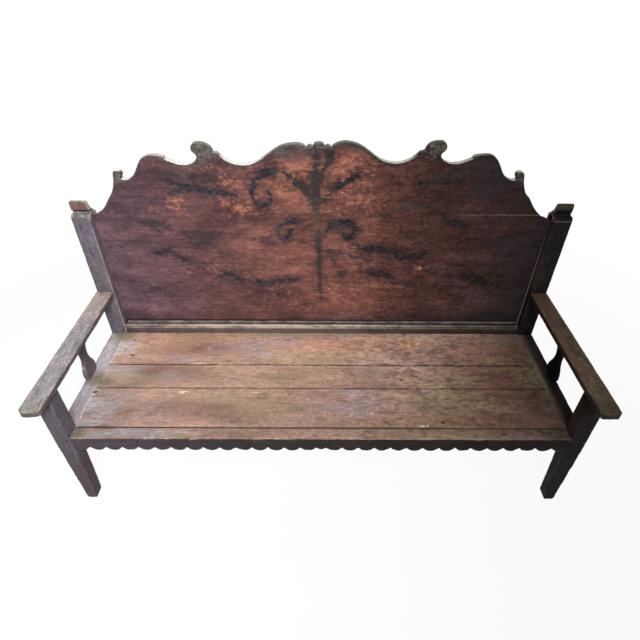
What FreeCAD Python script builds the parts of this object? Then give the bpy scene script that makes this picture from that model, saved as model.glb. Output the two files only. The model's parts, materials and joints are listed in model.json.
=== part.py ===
import FreeCAD, Part
import os

Vector = FreeCAD.Vector

# Driving dimensions, in millimetres: +X to the right as seen from the front, +Y to the back, +Z up

# Overall
OVERALL_WIDTH = 1930.0
SEAT_HEIGHT = 400.0
ARM_HEIGHT = 634.0
LEG_TO_POST = 591.0           # front face of a front leg to front face of a rear post
CREST_JOINT_HEIGHT = 983.0    # seam between the back panel and the crest board

# Front legs
LEG_WIDTH = 56.0
LEG_DEPTH = 60.0
FOOT_TAPER = 10.0             # taken off the inner and back faces between the rails and the floor
FOOT_OUTER_TAPER = 8.0        # taken off the outer face over the same height
FOOT_CHAMFER = 3.0

# Rear posts
POST_WIDTH = 71.0
POST_DEPTH = 71.0
POST_SHOULDER_HEIGHT = 977.0  # front ledge below the finial
FINIAL_BEVEL = 8.0
FINIAL_NOTCH_DEPTH = 28.0
FINIAL_NOTCH_HEIGHT = 10.0
FINIAL_CAP_SETBACK = 16.0
FINIAL_CAP_HEIGHT = 40.0
FINIAL_CAP_DEPTH = 14.0
FINIAL_CAP_ROUND = 8.0

# Armrests and the sawn balusters under them
ARM_WIDTH = 71.0
ARM_THICKNESS = 23.0
ARM_OVERHANG = 82.0           # in front of the front leg
ARM_CORNER_RADIUS = 11.0
BALUSTER_THICKNESS = 17.0
BALUSTER_INSET = 2.0          # behind the outer face of the side rail
BALUSTER_FOOT_WIDTH = 68.0
BALUSTER_BELLY_WIDTH = 84.0
BALUSTER_WAIST_WIDTH = 36.0
BALUSTER_BELLY_RISE = 24.0
BALUSTER_TENON_WIDTH = 44.0
BALUSTER_TENON_THICKNESS = 9.0
BALUSTER_TENON_LENGTH = 10.0

# Seat frame
FRONT_RAIL_DEPTH = 50.0
FRONT_RAIL_HEIGHT = 49.0      # down to the cusps between the scallops
SCALLOP_PITCH = 59.4
SCALLOP_DROP = 20.0
CENTRE_SCALLOP_WIDTH = 35.0
CENTRE_SCALLOP_DROP = 13.0
SIDE_RAIL_HEIGHT = 76.0
REAR_RAIL_DEPTH = 46.0
REAR_RAIL_HEIGHT = 70.0
LEDGER_WIDTH = 20.0
BEARER_WIDTH = 40.0
BEARER_HEIGHT = 30.0
BEARER_SPACING = 450.0
BEARER_TENON_LENGTH = 14.0
BEARER_TENON_MARGIN = 6.0

# Seat boards, front to back
BOARD_THICKNESS = 24.0
BOARD_SEAM = 0.8
FRONT_BOARD_DEPTH = 199.0
MIDDLE_BOARD_DEPTH = 135.0
BOARD_UNDER_RAIL = 26.0       # how far the rear board runs under the bottom rail of the back

# Back
BACK_RAIL_HEIGHT = 46.0
BACK_RAIL_CHAMFER = 13.0
PANEL_SETBACK = 28.0          # front face of the panel behind the front of the posts
PANEL_THICKNESS = 25.0
PANEL_TONGUE = 14.0           # depth of the panel in the grooves of the posts and the bottom rail
BEAD_DEPTH = 13.0
BEAD_HEIGHT = 10.0
BEAD_FRONT_HEIGHT = 3.0
BEAD_END_GAP = 8.0            # the strip stops short of the posts

# Crest outline: rises above the seam, and places from the centre at the nominal half span
CREST_NOMINAL_HALF_SPAN = 894.0
CREST_OFFSET = -13.0          # axis of the hand sawn crest, from the centre of the bench
CREST_END_DROP = 6.0          # the outline ends this far below the seam, at the posts
FINGER_NOTCH_RISE = 249.0
CENTRE_FINGER_HALF_WIDTH = 18.0
CENTRE_FINGER_SHOULDER_RISE = 261.0
CENTRE_FINGER_RISE = 271.0
SIDE_FINGER_X = 32.5
SIDE_FINGER_HALF_WIDTH = 9.5
SIDE_FINGER_RISE = 262.0
MAIN_HUMP_X = 92.0
MAIN_HUMP_RISE = 270.0
MAIN_TROUGH_X = 278.0
MAIN_TROUGH_RISE = 190.0
SCROLL_X = 435.0
SCROLL_RISE = 250.0
SCROLL_RADIUS = 21.0
OUTER_TROUGH_X = 490.0
OUTER_TROUGH_RISE = 192.0
OUTER_HUMP_X = 606.0
OUTER_HUMP_RISE = 224.0
HOOK_TROUGH_X = 722.0
HOOK_TROUGH_RISE = 132.0
HOOK_X = 742.0
HOOK_RISE = 152.0
HOOK_RADIUS = 16.0

# Joints
FIT = 0.15                    # clearance all round a tenon or tongue in its mortise or groove
TENON_LENGTH = 28.0
TENON_THICKNESS = 16.0
TENON_HEIGHT = 28.0
TENON_MARGIN = 9.0            # wood left beside a tenon on the face side of its rail
ARM_TENON_HEIGHT = 12.0
LEG_TENON_SIZE = 30.0
LEG_TENON_HEIGHT = 13.0
PEG_RADIUS = 4.5
PEG_DEPTH = 42.0
PEG_FIT = 0.08
DOWEL_RADIUS = 5.0
DOWEL_LENGTH = 60.0
DOWEL_PLACES = (120.0, 360.0, 600.0)
NAIL_HEAD_RADIUS = 3.5
NAIL_HEAD_THICKNESS = 1.6
NAIL_SHANK_RADIUS = 1.6
NAIL_LENGTH = 44.0

# Planes that the pieces share
half_width = OVERALL_WIDTH / 2
overall_depth = ARM_OVERHANG + LEG_TO_POST + POST_DEPTH
leg_front = ARM_OVERHANG - overall_depth / 2
leg_back = leg_front + LEG_DEPTH
leg_inner = half_width - LEG_WIDTH
post_front = leg_front + LEG_TO_POST
post_back = post_front + POST_DEPTH
post_inner = half_width - POST_WIDTH
arm_inner = half_width - ARM_WIDTH
arm_bottom = ARM_HEIGHT - ARM_THICKNESS
front_rail_back = leg_front + FRONT_RAIL_DEPTH
side_rail_bottom = SEAT_HEIGHT - SIDE_RAIL_HEIGHT
board_bottom = SEAT_HEIGHT - BOARD_THICKNESS
rear_rail_bottom = board_bottom - REAR_RAIL_HEIGHT
back_rail_top = SEAT_HEIGHT + BACK_RAIL_HEIGHT
panel_front = post_front + PANEL_SETBACK
panel_back = panel_front + PANEL_THICKNESS
crest_end = CREST_JOINT_HEIGHT - CREST_END_DROP
stretch = post_inner / CREST_NOMINAL_HALF_SPAN


# Helpers

def box(low, high):
    return Part.makeBox(high[0] - low[0], high[1] - low[1], high[2] - low[2], Vector(*low))


def grown(low, high, margin):
    return box([value - margin for value in low], [value + margin for value in high])


def prism_x(points, x_low, x_high):
    corners = [Vector(x_low, y, z) for y, z in points]
    return Part.Face(Part.makePolygon(corners + corners[:1])).extrude(Vector(x_high - x_low, 0, 0))


def prism_y(points, y_low, y_high):
    corners = [Vector(x, y_low, z) for x, z in points]
    return Part.Face(Part.makePolygon(corners + corners[:1])).extrude(Vector(0, y_high - y_low, 0))


def cylinder(start, axis, length, radius):
    return Part.makeCylinder(radius, length, Vector(*start), Vector(*axis))


def line(start, end):
    return Part.LineSegment(start, end).toShape()


def arc(start, middle, end):
    return Part.Arc(start, middle, end).toShape()


def bezier(*poles):
    curve = Part.BezierCurve()
    curve.setPoles(list(poles))
    return curve.toShape()


def mirrored(shape):
    return shape.mirror(Vector(0, 0, 0), Vector(1, 0, 0))


def cut_all(shape, tools):
    return shape.cut(Part.makeCompound(tools))


def save(name, shape):
    shape.exportStep("parts/" + name + ".step")


def save_pair(name, right_shape):
    save(name + "_right", right_shape)
    save(name + "_left", mirrored(right_shape))


# Tenons of the right half, each as its low and high corner, shared by the tenon and its mortise

front_tenon_y = leg_front + (FRONT_RAIL_DEPTH - TENON_THICKNESS) / 2
front_tenon_top = SEAT_HEIGHT - TENON_MARGIN
front_rail_tenon = (
    (leg_inner, front_tenon_y, front_tenon_top - TENON_HEIGHT),
    (leg_inner + TENON_LENGTH, front_tenon_y + TENON_THICKNESS, front_tenon_top),
)

side_tenon_x = half_width - TENON_MARGIN - TENON_THICKNESS
side_tenon_low = side_rail_bottom + TENON_MARGIN / 2
side_tenon_high = side_tenon_low + TENON_HEIGHT
side_rail_front_tenon = (
    (side_tenon_x, leg_back - TENON_LENGTH, side_tenon_low),
    (side_tenon_x + TENON_THICKNESS, leg_back, side_tenon_high),
)
side_rail_back_tenon = (
    (side_tenon_x, post_front, side_tenon_low),
    (side_tenon_x + TENON_THICKNESS, post_front + TENON_LENGTH, side_tenon_high),
)

rear_tenon_y = post_front + (REAR_RAIL_DEPTH - TENON_THICKNESS) / 2
rear_tenon_z = rear_rail_bottom + (REAR_RAIL_HEIGHT - TENON_HEIGHT) / 2
rear_rail_tenon = (
    (post_inner, rear_tenon_y, rear_tenon_z),
    (post_inner + TENON_LENGTH, rear_tenon_y + TENON_THICKNESS, rear_tenon_z + TENON_HEIGHT),
)

back_tenon_y = post_front + (POST_DEPTH - TENON_THICKNESS) / 2
back_tenon_top = back_rail_top - PANEL_TONGUE - TENON_MARGIN / 2
back_tenon_low = SEAT_HEIGHT + TENON_MARGIN / 2
back_rail_tenon = (
    (post_inner, back_tenon_y, back_tenon_low),
    (post_inner + TENON_LENGTH, back_tenon_y + TENON_THICKNESS, back_tenon_top),
)

arm_tenon_z = arm_bottom + (ARM_THICKNESS - ARM_TENON_HEIGHT) / 2
arm_tenon = (
    (arm_inner + TENON_MARGIN, post_front, arm_tenon_z),
    (half_width - TENON_MARGIN, post_front + TENON_LENGTH, arm_tenon_z + ARM_TENON_HEIGHT),
)

leg_middle = ((leg_inner + half_width) / 2, (leg_front + leg_back) / 2)
leg_tenon = (
    (leg_middle[0] - LEG_TENON_SIZE / 2, leg_middle[1] - LEG_TENON_SIZE / 2, arm_bottom),
    (leg_middle[0] + LEG_TENON_SIZE / 2, leg_middle[1] + LEG_TENON_SIZE / 2, arm_bottom + LEG_TENON_HEIGHT),
)

baluster_y = (leg_back + post_front) / 2
baluster_outer = half_width - BALUSTER_INSET
baluster_tenon_x = baluster_outer - (BALUSTER_THICKNESS + BALUSTER_TENON_THICKNESS) / 2
baluster_tenon_y = baluster_y - BALUSTER_TENON_WIDTH / 2


def baluster_tenon(z_low):
    low = (baluster_tenon_x, baluster_tenon_y, z_low)
    high = (baluster_tenon_x + BALUSTER_TENON_THICKNESS, baluster_tenon_y + BALUSTER_TENON_WIDTH,
            z_low + BALUSTER_TENON_LENGTH)
    return low, high


baluster_foot_tenon = baluster_tenon(SEAT_HEIGHT - BALUSTER_TENON_LENGTH)
baluster_top_tenon = baluster_tenon(arm_bottom)

bearer_bottom = board_bottom - BEARER_HEIGHT
bearer_places = (-BEARER_SPACING, 0.0, BEARER_SPACING)


def bearer_tenons(x):
    x_low = x - BEARER_WIDTH / 2 + BEARER_TENON_MARGIN
    x_high = x + BEARER_WIDTH / 2 - BEARER_TENON_MARGIN
    z_low = bearer_bottom + BEARER_TENON_MARGIN
    z_high = board_bottom - BEARER_TENON_MARGIN
    front = ((x_low, front_rail_back - BEARER_TENON_LENGTH, z_low), (x_high, front_rail_back, z_high))
    back = ((x_low, post_front, z_low), (x_high, post_front + BEARER_TENON_LENGTH, z_high))
    return front, back


# Pegs through the mortise and tenon joints of the right half: start, direction

def middle(corners, axis):
    return (corners[0][axis] + corners[1][axis]) / 2


peg_places = [
    ((middle(front_rail_tenon, 0), leg_front, middle(front_rail_tenon, 2)), (0, 1, 0)),
    ((half_width, middle(side_rail_front_tenon, 1), middle(side_rail_front_tenon, 2)), (-1, 0, 0)),
    ((half_width, middle(side_rail_back_tenon, 1), middle(side_rail_back_tenon, 2)), (-1, 0, 0)),
    ((middle(rear_rail_tenon, 0), post_back, middle(rear_rail_tenon, 2)), (0, -1, 0)),
    ((middle(back_rail_tenon, 0), post_front, middle(back_rail_tenon, 2)), (0, 1, 0)),
]
pegs = [cylinder(start, axis, PEG_DEPTH, PEG_RADIUS) for start, axis in peg_places]
peg_holes = [cylinder(start, axis, PEG_DEPTH + PEG_FIT, PEG_RADIUS + PEG_FIT) for start, axis in peg_places]
all_peg_holes = peg_holes + [mirrored(hole) for hole in peg_holes]


# Nails through the seat boards, with flush heads

ledger_x = leg_inner - LEDGER_WIDTH / 2
middle_board_front = front_rail_back + FRONT_BOARD_DEPTH
rear_board_front = middle_board_front + MIDDLE_BOARD_DEPTH
board_spans = {
    "front": (front_rail_back + BOARD_SEAM, middle_board_front),
    "middle": (middle_board_front + BOARD_SEAM, rear_board_front),
    "rear": (rear_board_front + BOARD_SEAM, post_front),
}
nail_columns = (-ledger_x,) + bearer_places + (ledger_x,)
nail_rows = []
for row_front, row_back in board_spans.values():
    row_step = (row_back - row_front) / 4
    nail_rows += [row_front + row_step, row_back - row_step]


def nail(x, y, allowance):
    head = cylinder((x, y, SEAT_HEIGHT - NAIL_HEAD_THICKNESS - allowance), (0, 0, 1),
                    NAIL_HEAD_THICKNESS + allowance, NAIL_HEAD_RADIUS + allowance)
    shank = cylinder((x, y, SEAT_HEIGHT - NAIL_LENGTH - allowance), (0, 0, 1),
                     NAIL_LENGTH, NAIL_SHANK_RADIUS + allowance)
    return head.fuse(shank)


nails = [nail(x, y, 0.0) for x in nail_columns for y in nail_rows]
nail_holes = [nail(x, y, PEG_FIT) for x in nail_columns for y in nail_rows]


# Pieces

def front_leg():
    taper_top = side_rail_bottom
    across = prism_y([(half_width - FOOT_OUTER_TAPER, 0), (half_width, taper_top), (half_width, arm_bottom),
                      (leg_inner, arm_bottom), (leg_inner, taper_top), (leg_inner + FOOT_TAPER, 0)],
                     leg_front, leg_back)
    along = prism_x([(leg_front, 0), (leg_front, arm_bottom), (leg_back, arm_bottom),
                     (leg_back, taper_top), (leg_back - FOOT_TAPER, 0)], leg_inner, half_width)
    leg = across.common(along)
    foot_edges = [edge for edge in leg.Edges if edge.BoundBox.ZMax < FOOT_CHAMFER]
    leg = leg.makeChamfer(FOOT_CHAMFER, foot_edges)
    leg = leg.fuse(box(*leg_tenon))
    return cut_all(leg, [grown(*front_rail_tenon, FIT), grown(*side_rail_front_tenon, FIT)] + peg_holes)


def finial_profile(x):
    # Side outline of a rear post, from the floor up the front face and back down
    def at(depth, height):
        return Vector(x, post_front + depth, POST_SHOULDER_HEIGHT + height)

    notch_top = FINIAL_BEVEL + FINIAL_NOTCH_HEIGHT
    cap_top = notch_top + FINIAL_CAP_HEIGHT
    cap_back = FINIAL_CAP_SETBACK + FINIAL_CAP_DEPTH
    tuck = FINIAL_CAP_ROUND * 0.3
    front_foot = Vector(x, post_front, 0)
    back_foot = Vector(x, post_back, 0)
    points = [
        front_foot,
        at(0, 0),
        at(FINIAL_BEVEL, FINIAL_BEVEL),
        at(FINIAL_NOTCH_DEPTH, FINIAL_BEVEL),
        at(FINIAL_NOTCH_DEPTH, notch_top),
        at(FINIAL_CAP_SETBACK, notch_top),
        at(FINIAL_CAP_SETBACK, cap_top - FINIAL_CAP_ROUND),
    ]
    edges = [line(start, end) for start, end in zip(points, points[1:])]
    round_end = at(FINIAL_CAP_SETBACK + FINIAL_CAP_ROUND, cap_top)
    edges.append(arc(points[-1], at(FINIAL_CAP_SETBACK + tuck, cap_top - tuck), round_end))
    edges.append(line(round_end, at(cap_back, cap_top)))
    sweep_pull = (POST_DEPTH - cap_back) / 3
    back_end = at(POST_DEPTH, 0)
    edges.append(bezier(at(cap_back, cap_top), at(cap_back + sweep_pull / 2, cap_top / 3),
                        at(POST_DEPTH - sweep_pull, FINIAL_BEVEL / 2), back_end))
    edges.append(line(back_end, back_foot))
    edges.append(line(back_foot, front_foot))
    return Part.Face(Part.Wire(edges))


def rear_post():
    post = finial_profile(post_inner).extrude(Vector(POST_WIDTH, 0, 0))
    foot_edges = [edge for edge in post.Edges if edge.BoundBox.ZMax < FOOT_CHAMFER]
    post = post.makeChamfer(FOOT_CHAMFER, foot_edges)
    groove = grown((post_inner, panel_front, back_rail_top - PANEL_TONGUE),
                   (post_inner + PANEL_TONGUE, panel_back, crest_end), FIT)
    mortises = [grown(*side_rail_back_tenon, FIT), grown(*rear_rail_tenon, FIT),
                grown(*back_rail_tenon, FIT), grown(*arm_tenon, FIT)]
    return cut_all(post, [groove] + mortises + peg_holes)


def armrest():
    arm_front = leg_front - ARM_OVERHANG
    board = box((arm_inner, arm_front, arm_bottom), (half_width, post_front, ARM_HEIGHT))
    corner = [edge for edge in board.Edges
              if edge.BoundBox.XMin > half_width - FIT and edge.BoundBox.YMax < arm_front + FIT]
    board = board.makeFillet(ARM_CORNER_RADIUS, corner)
    board = board.fuse(box(*arm_tenon))
    return cut_all(board, [grown(*leg_tenon, FIT), grown(*baluster_top_tenon, FIT)])


def arm_baluster():
    # Flat slat, sawn to a waist at mid height and the same belly at both ends
    x = baluster_outer - BALUSTER_THICKNESS
    mid_z = (SEAT_HEIGHT + arm_bottom) / 2
    waist_pull = (mid_z - SEAT_HEIGHT - BALUSTER_BELLY_RISE) * 0.45

    def at(side, width, height):
        return Vector(x, baluster_y + side * width / 2, height)

    def quarter(side, end_z, way):
        foot = at(side, BALUSTER_FOOT_WIDTH, end_z)
        belly = at(side, BALUSTER_BELLY_WIDTH, end_z + way * BALUSTER_BELLY_RISE)
        waist = at(side, BALUSTER_WAIST_WIDTH, mid_z)
        lower = bezier(foot, at(side, BALUSTER_BELLY_WIDTH, end_z + way * BALUSTER_BELLY_RISE / 3), belly)
        pull = Vector(0, 0, way * waist_pull)
        upper = bezier(belly, belly + pull, waist - pull, waist)
        return [lower, upper]

    edges = []
    for side in (-1, 1):
        edges += quarter(side, SEAT_HEIGHT, 1) + quarter(side, arm_bottom, -1)
    for end_z in (SEAT_HEIGHT, arm_bottom):
        edges.append(line(at(-1, BALUSTER_FOOT_WIDTH, end_z), at(1, BALUSTER_FOOT_WIDTH, end_z)))
    outline = Part.Wire(Part.__sortEdges__(edges))
    slat = Part.Face(outline).extrude(Vector(BALUSTER_THICKNESS, 0, 0))
    return slat.fuse([box(*baluster_foot_tenon), box(*baluster_top_tenon)])


def scallop_edges():
    # Lower edge of the front rail, left to right: full scallops, a narrow one in the centre, full scallops
    cusp_z = SEAT_HEIGHT - FRONT_RAIL_HEIGHT
    run = leg_inner - CENTRE_SCALLOP_WIDTH / 2
    count = max(1, round(run / SCALLOP_PITCH))
    pitch = run / count
    widths = [pitch] * count + [CENTRE_SCALLOP_WIDTH] + [pitch] * count
    drops = [SCALLOP_DROP] * count + [CENTRE_SCALLOP_DROP] + [SCALLOP_DROP] * count
    edges = []
    x = -leg_inner
    for width, drop in zip(widths, drops):
        edges.append(arc(Vector(x, leg_front, cusp_z), Vector(x + width / 2, leg_front, cusp_z - drop),
                         Vector(x + width, leg_front, cusp_z)))
        x += width
    return edges


def front_seat_rail():
    cusp_z = SEAT_HEIGHT - FRONT_RAIL_HEIGHT
    edges = scallop_edges()
    edges.append(line(Vector(leg_inner, leg_front, cusp_z), Vector(leg_inner, leg_front, SEAT_HEIGHT)))
    edges.append(line(Vector(leg_inner, leg_front, SEAT_HEIGHT), Vector(-leg_inner, leg_front, SEAT_HEIGHT)))
    edges.append(line(Vector(-leg_inner, leg_front, SEAT_HEIGHT), Vector(-leg_inner, leg_front, cusp_z)))
    rail = Part.Face(Part.Wire(edges)).extrude(Vector(0, FRONT_RAIL_DEPTH, 0))
    tenon = box(*front_rail_tenon)
    rail = rail.fuse([tenon, mirrored(tenon)])
    return cut_all(rail, [grown(*bearer_tenons(x)[0], FIT) for x in bearer_places] + all_peg_holes)


def rear_seat_rail():
    rail = box((-post_inner, post_front, rear_rail_bottom),
               (post_inner, post_front + REAR_RAIL_DEPTH, board_bottom))
    tenon = box(*rear_rail_tenon)
    rail = rail.fuse([tenon, mirrored(tenon)])
    return cut_all(rail, [grown(*bearer_tenons(x)[1], FIT) for x in bearer_places] + all_peg_holes)


def side_seat_rail():
    rail = box((leg_inner, leg_back, side_rail_bottom), (half_width, post_front, SEAT_HEIGHT))
    rail = rail.fuse([box(*side_rail_front_tenon), box(*side_rail_back_tenon)])
    return cut_all(rail, [grown(*baluster_foot_tenon, FIT)] + peg_holes)


def seat_board(span):
    end_x = leg_inner - FIT
    board = box((-end_x, span[0], board_bottom), (end_x, span[1], SEAT_HEIGHT))
    if span[1] == post_front:
        under_x = post_inner - FIT
        board = board.fuse(box((-under_x, post_front, board_bottom),
                               (under_x, post_front + BOARD_UNDER_RAIL, SEAT_HEIGHT)))
    return cut_all(board, nail_holes).removeSplitter()


def seat_ledger():
    strip = box((leg_inner - LEDGER_WIDTH, front_rail_back, bearer_bottom), (leg_inner, post_front, board_bottom))
    return cut_all(strip, nail_holes)


def seat_bearer(x):
    bar = box((x - BEARER_WIDTH / 2, front_rail_back, bearer_bottom),
              (x + BEARER_WIDTH / 2, post_front, board_bottom))
    bar = bar.fuse([box(*corners) for corners in bearer_tenons(x)])
    return cut_all(bar, nail_holes)


def back_bottom_rail():
    rail = prism_x([(post_front, SEAT_HEIGHT), (post_front, back_rail_top - BACK_RAIL_CHAMFER),
                    (post_front + BACK_RAIL_CHAMFER, back_rail_top), (post_back, back_rail_top),
                    (post_back, SEAT_HEIGHT)], -post_inner, post_inner)
    tenon = box(*back_rail_tenon)
    rail = rail.fuse([tenon, mirrored(tenon)])
    groove = grown((-post_inner, panel_front, back_rail_top - PANEL_TONGUE),
                   (post_inner, panel_back, back_rail_top), FIT)
    return cut_all(rail, [groove] + all_peg_holes)


def panel_bead():
    x = BEAD_END_GAP - post_inner
    front = panel_front - BEAD_DEPTH
    low = Vector(x, front, back_rail_top)
    lip = Vector(x, front, back_rail_top + BEAD_FRONT_HEIGHT)
    crown = Vector(x, panel_front, back_rail_top + BEAD_HEIGHT)
    heel = Vector(x, panel_front, back_rail_top)
    swell = bezier(lip, Vector(x, front, back_rail_top + BEAD_HEIGHT), crown)
    outline = Part.Wire([line(heel, low), line(low, lip), swell, line(crown, heel)])
    return Part.Face(outline).extrude(Vector(-2 * x, 0, 0))


def crest_curves(half_span):
    # Sawn upper edge of a right half, from the axis of the crest out to a post half_span away
    def at(x, rise):
        return Vector(x, panel_front, CREST_JOINT_HEIGHT + rise)

    # Three carved fingers at the centre
    finger_foot = CENTRE_FINGER_HALF_WIDTH + 1.5
    side_start = SIDE_FINGER_X - SIDE_FINGER_HALF_WIDTH
    side_end = SIDE_FINGER_X + SIDE_FINGER_HALF_WIDTH
    hump_start = side_end + 3.0
    shoulder = at(CENTRE_FINGER_HALF_WIDTH, CENTRE_FINGER_SHOULDER_RISE)
    edges = [
        bezier(at(0, CENTRE_FINGER_RISE), at(CENTRE_FINGER_HALF_WIDTH, CENTRE_FINGER_RISE), shoulder),
        line(shoulder, at(finger_foot, FINGER_NOTCH_RISE)),
        line(at(finger_foot, FINGER_NOTCH_RISE), at(side_start, FINGER_NOTCH_RISE)),
        arc(at(side_start, FINGER_NOTCH_RISE), at(SIDE_FINGER_X, SIDE_FINGER_RISE),
            at(side_end, FINGER_NOTCH_RISE)),
        line(at(side_end, FINGER_NOTCH_RISE), at(hump_start, FINGER_NOTCH_RISE)),
    ]

    # Main hump and the trough beyond it
    hump_x = MAIN_HUMP_X * stretch
    trough_x = MAIN_TROUGH_X * stretch
    ogee_pull = (trough_x - hump_x) * 0.42
    edges.append(bezier(at(hump_start, FINGER_NOTCH_RISE), at(hump_start + 4.0, MAIN_HUMP_RISE - 4.0),
                        at(hump_x - 24.0, MAIN_HUMP_RISE), at(hump_x, MAIN_HUMP_RISE)))
    edges.append(bezier(at(hump_x, MAIN_HUMP_RISE), at(hump_x + ogee_pull, MAIN_HUMP_RISE),
                        at(trough_x - ogee_pull, MAIN_TROUGH_RISE), at(trough_x, MAIN_TROUGH_RISE)))

    # Scroll: a ledge, a leaf that rises over it, and a round curl that hangs outwards
    scroll_x = SCROLL_X * stretch
    ledge_start = at(scroll_x - 72.0, SCROLL_RISE - 17.0)
    ledge_end = at(scroll_x - 55.0, SCROLL_RISE - 15.0)
    curl_top = at(scroll_x, SCROLL_RISE + SCROLL_RADIUS)
    curl_side = at(scroll_x + SCROLL_RADIUS, SCROLL_RISE)
    curl_under = at(scroll_x + SCROLL_RADIUS * 0.28, SCROLL_RISE - SCROLL_RADIUS * 0.96)
    neck = at(scroll_x + 4.0, SCROLL_RISE - SCROLL_RADIUS - 7.0)
    edges.append(bezier(at(trough_x, MAIN_TROUGH_RISE), at(trough_x + 38.0, MAIN_TROUGH_RISE),
                        ledge_start - Vector(11.0, 0, 20.0), ledge_start))
    edges.append(line(ledge_start, ledge_end))
    edges.append(bezier(ledge_end, ledge_end + Vector(4.0, 0, 27.0), curl_top - Vector(30.0, 0, 0), curl_top))
    edges.append(arc(curl_top, curl_side, curl_under))
    edges.append(line(curl_under, neck))

    # Outer trough, a small quirk, and the outer hump that falls to the hook
    outer_trough = at(OUTER_TROUGH_X * stretch, OUTER_TROUGH_RISE)
    outer_hump = at(OUTER_HUMP_X * stretch, OUTER_HUMP_RISE)
    quirk_low = outer_hump - Vector(50.0, 0, 13.0)
    quirk_high = outer_hump - Vector(46.0, 0, 5.0)
    hook_trough = at(HOOK_TROUGH_X * stretch, HOOK_TROUGH_RISE)
    fall_pull = Vector((hook_trough.x - outer_hump.x) * 0.56, 0, 0)
    edges.append(bezier(neck, neck - Vector(0, 0, 16.0), outer_trough - Vector(25.0, 0, 0), outer_trough))
    edges.append(bezier(outer_trough, outer_trough + Vector(25.0, 0, 0), quirk_low - Vector(18.0, 0, 9.0),
                        quirk_low))
    edges.append(line(quirk_low, quirk_high))
    edges.append(bezier(quirk_high, quirk_high + Vector(12.0, 0, 4.0), outer_hump - Vector(18.0, 0, 0),
                        outer_hump))
    edges.append(bezier(outer_hump, outer_hump + fall_pull, hook_trough - fall_pull, hook_trough))

    # Hook that curls inwards, then the hollow sweep down to the post
    hook_x = HOOK_X * stretch
    hook_foot = at(hook_x - HOOK_RADIUS * 0.44, HOOK_RISE - HOOK_RADIUS * 0.9)
    hook_top = at(hook_x - HOOK_RADIUS * 0.6, HOOK_RISE + HOOK_RADIUS * 0.8)
    hook_side = at(hook_x + HOOK_RADIUS, HOOK_RISE)
    post_end = at(half_span, -CREST_END_DROP)
    sweep = post_end - hook_side
    edges.append(line(hook_trough, hook_foot))
    edges.append(arc(hook_foot, hook_top, hook_side))
    edges.append(bezier(hook_side, hook_side + Vector(sweep.x * 0.07, 0, sweep.z * 0.52),
                        post_end - Vector(sweep.x * 0.43, 0, sweep.z * 0.05), post_end))
    return edges


def back_half(side):
    # Panel and crest board on one side of the crest's axis: +1 is the right half, -1 the left
    bottom = back_rail_top - PANEL_TONGUE
    half_span = post_inner - side * CREST_OFFSET
    tongue_x = half_span + PANEL_TONGUE
    corners = [
        Vector(half_span, panel_front, crest_end),
        Vector(tongue_x, panel_front, crest_end),
        Vector(tongue_x, panel_front, bottom),
        Vector(0, panel_front, bottom),
        Vector(0, panel_front, CREST_JOINT_HEIGHT + CENTRE_FINGER_RISE),
    ]
    edges = crest_curves(half_span) + [line(start, end) for start, end in zip(corners, corners[1:])]
    half = Part.Face(Part.Wire(edges)).extrude(Vector(0, PANEL_THICKNESS, 0))
    if side < 0:
        half = mirrored(half)
    return half.translated(Vector(CREST_OFFSET, 0, 0))


def back_boards():
    # Panel and crest board are jointed edge to edge and sawn as one, so one outline makes both
    whole = back_half(1).fuse(back_half(-1)).removeSplitter()
    top = CREST_JOINT_HEIGHT + 2 * CENTRE_FINGER_RISE
    above = box((-half_width, panel_front, CREST_JOINT_HEIGHT), (half_width, panel_back, top))
    return whole.cut(above), whole.common(above)


def crest_dowels(radius, length):
    dowel_y = (panel_front + panel_back) / 2
    start_z = CREST_JOINT_HEIGHT - length / 2
    places = [CREST_OFFSET + side * place * stretch for side in (-1, 1) for place in DOWEL_PLACES]
    return [cylinder((x, dowel_y, start_z), (0, 0, 1), length, radius) for x in places]


# Build and export, one file per piece

os.makedirs("parts", exist_ok=True)
save_pair("front_leg", front_leg())
save_pair("rear_post", rear_post())
save_pair("armrest", armrest())
save_pair("arm_baluster", arm_baluster())
save_pair("side_seat_rail", side_seat_rail())
save_pair("seat_ledger", seat_ledger())
save("front_seat_rail", front_seat_rail())
save("rear_seat_rail", rear_seat_rail())
for board_name, board_span in board_spans.items():
    save("seat_board_" + board_name, seat_board(board_span))
for bearer_name, bearer_x in zip(("left", "centre", "right"), bearer_places):
    save("seat_bearer_" + bearer_name, seat_bearer(bearer_x))
save("back_bottom_rail", back_bottom_rail())
save("panel_bead_moulding", panel_bead())
dowel_holes = crest_dowels(DOWEL_RADIUS + PEG_FIT, DOWEL_LENGTH + 2 * FIT)
back_panel, crest_board = back_boards()
save("back_panel", cut_all(back_panel, dowel_holes))
save("crest_board", cut_all(crest_board, dowel_holes))
save("crest_dowels", Part.makeCompound(crest_dowels(DOWEL_RADIUS, DOWEL_LENGTH)))
save("tenon_pegs", Part.makeCompound(pegs + [mirrored(peg) for peg in pegs]))
save("seat_nails", Part.makeCompound(nails))
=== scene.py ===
import itertools
import json
import math

import bpy
import numpy as np
from mathutils import Matrix, Vector

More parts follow.
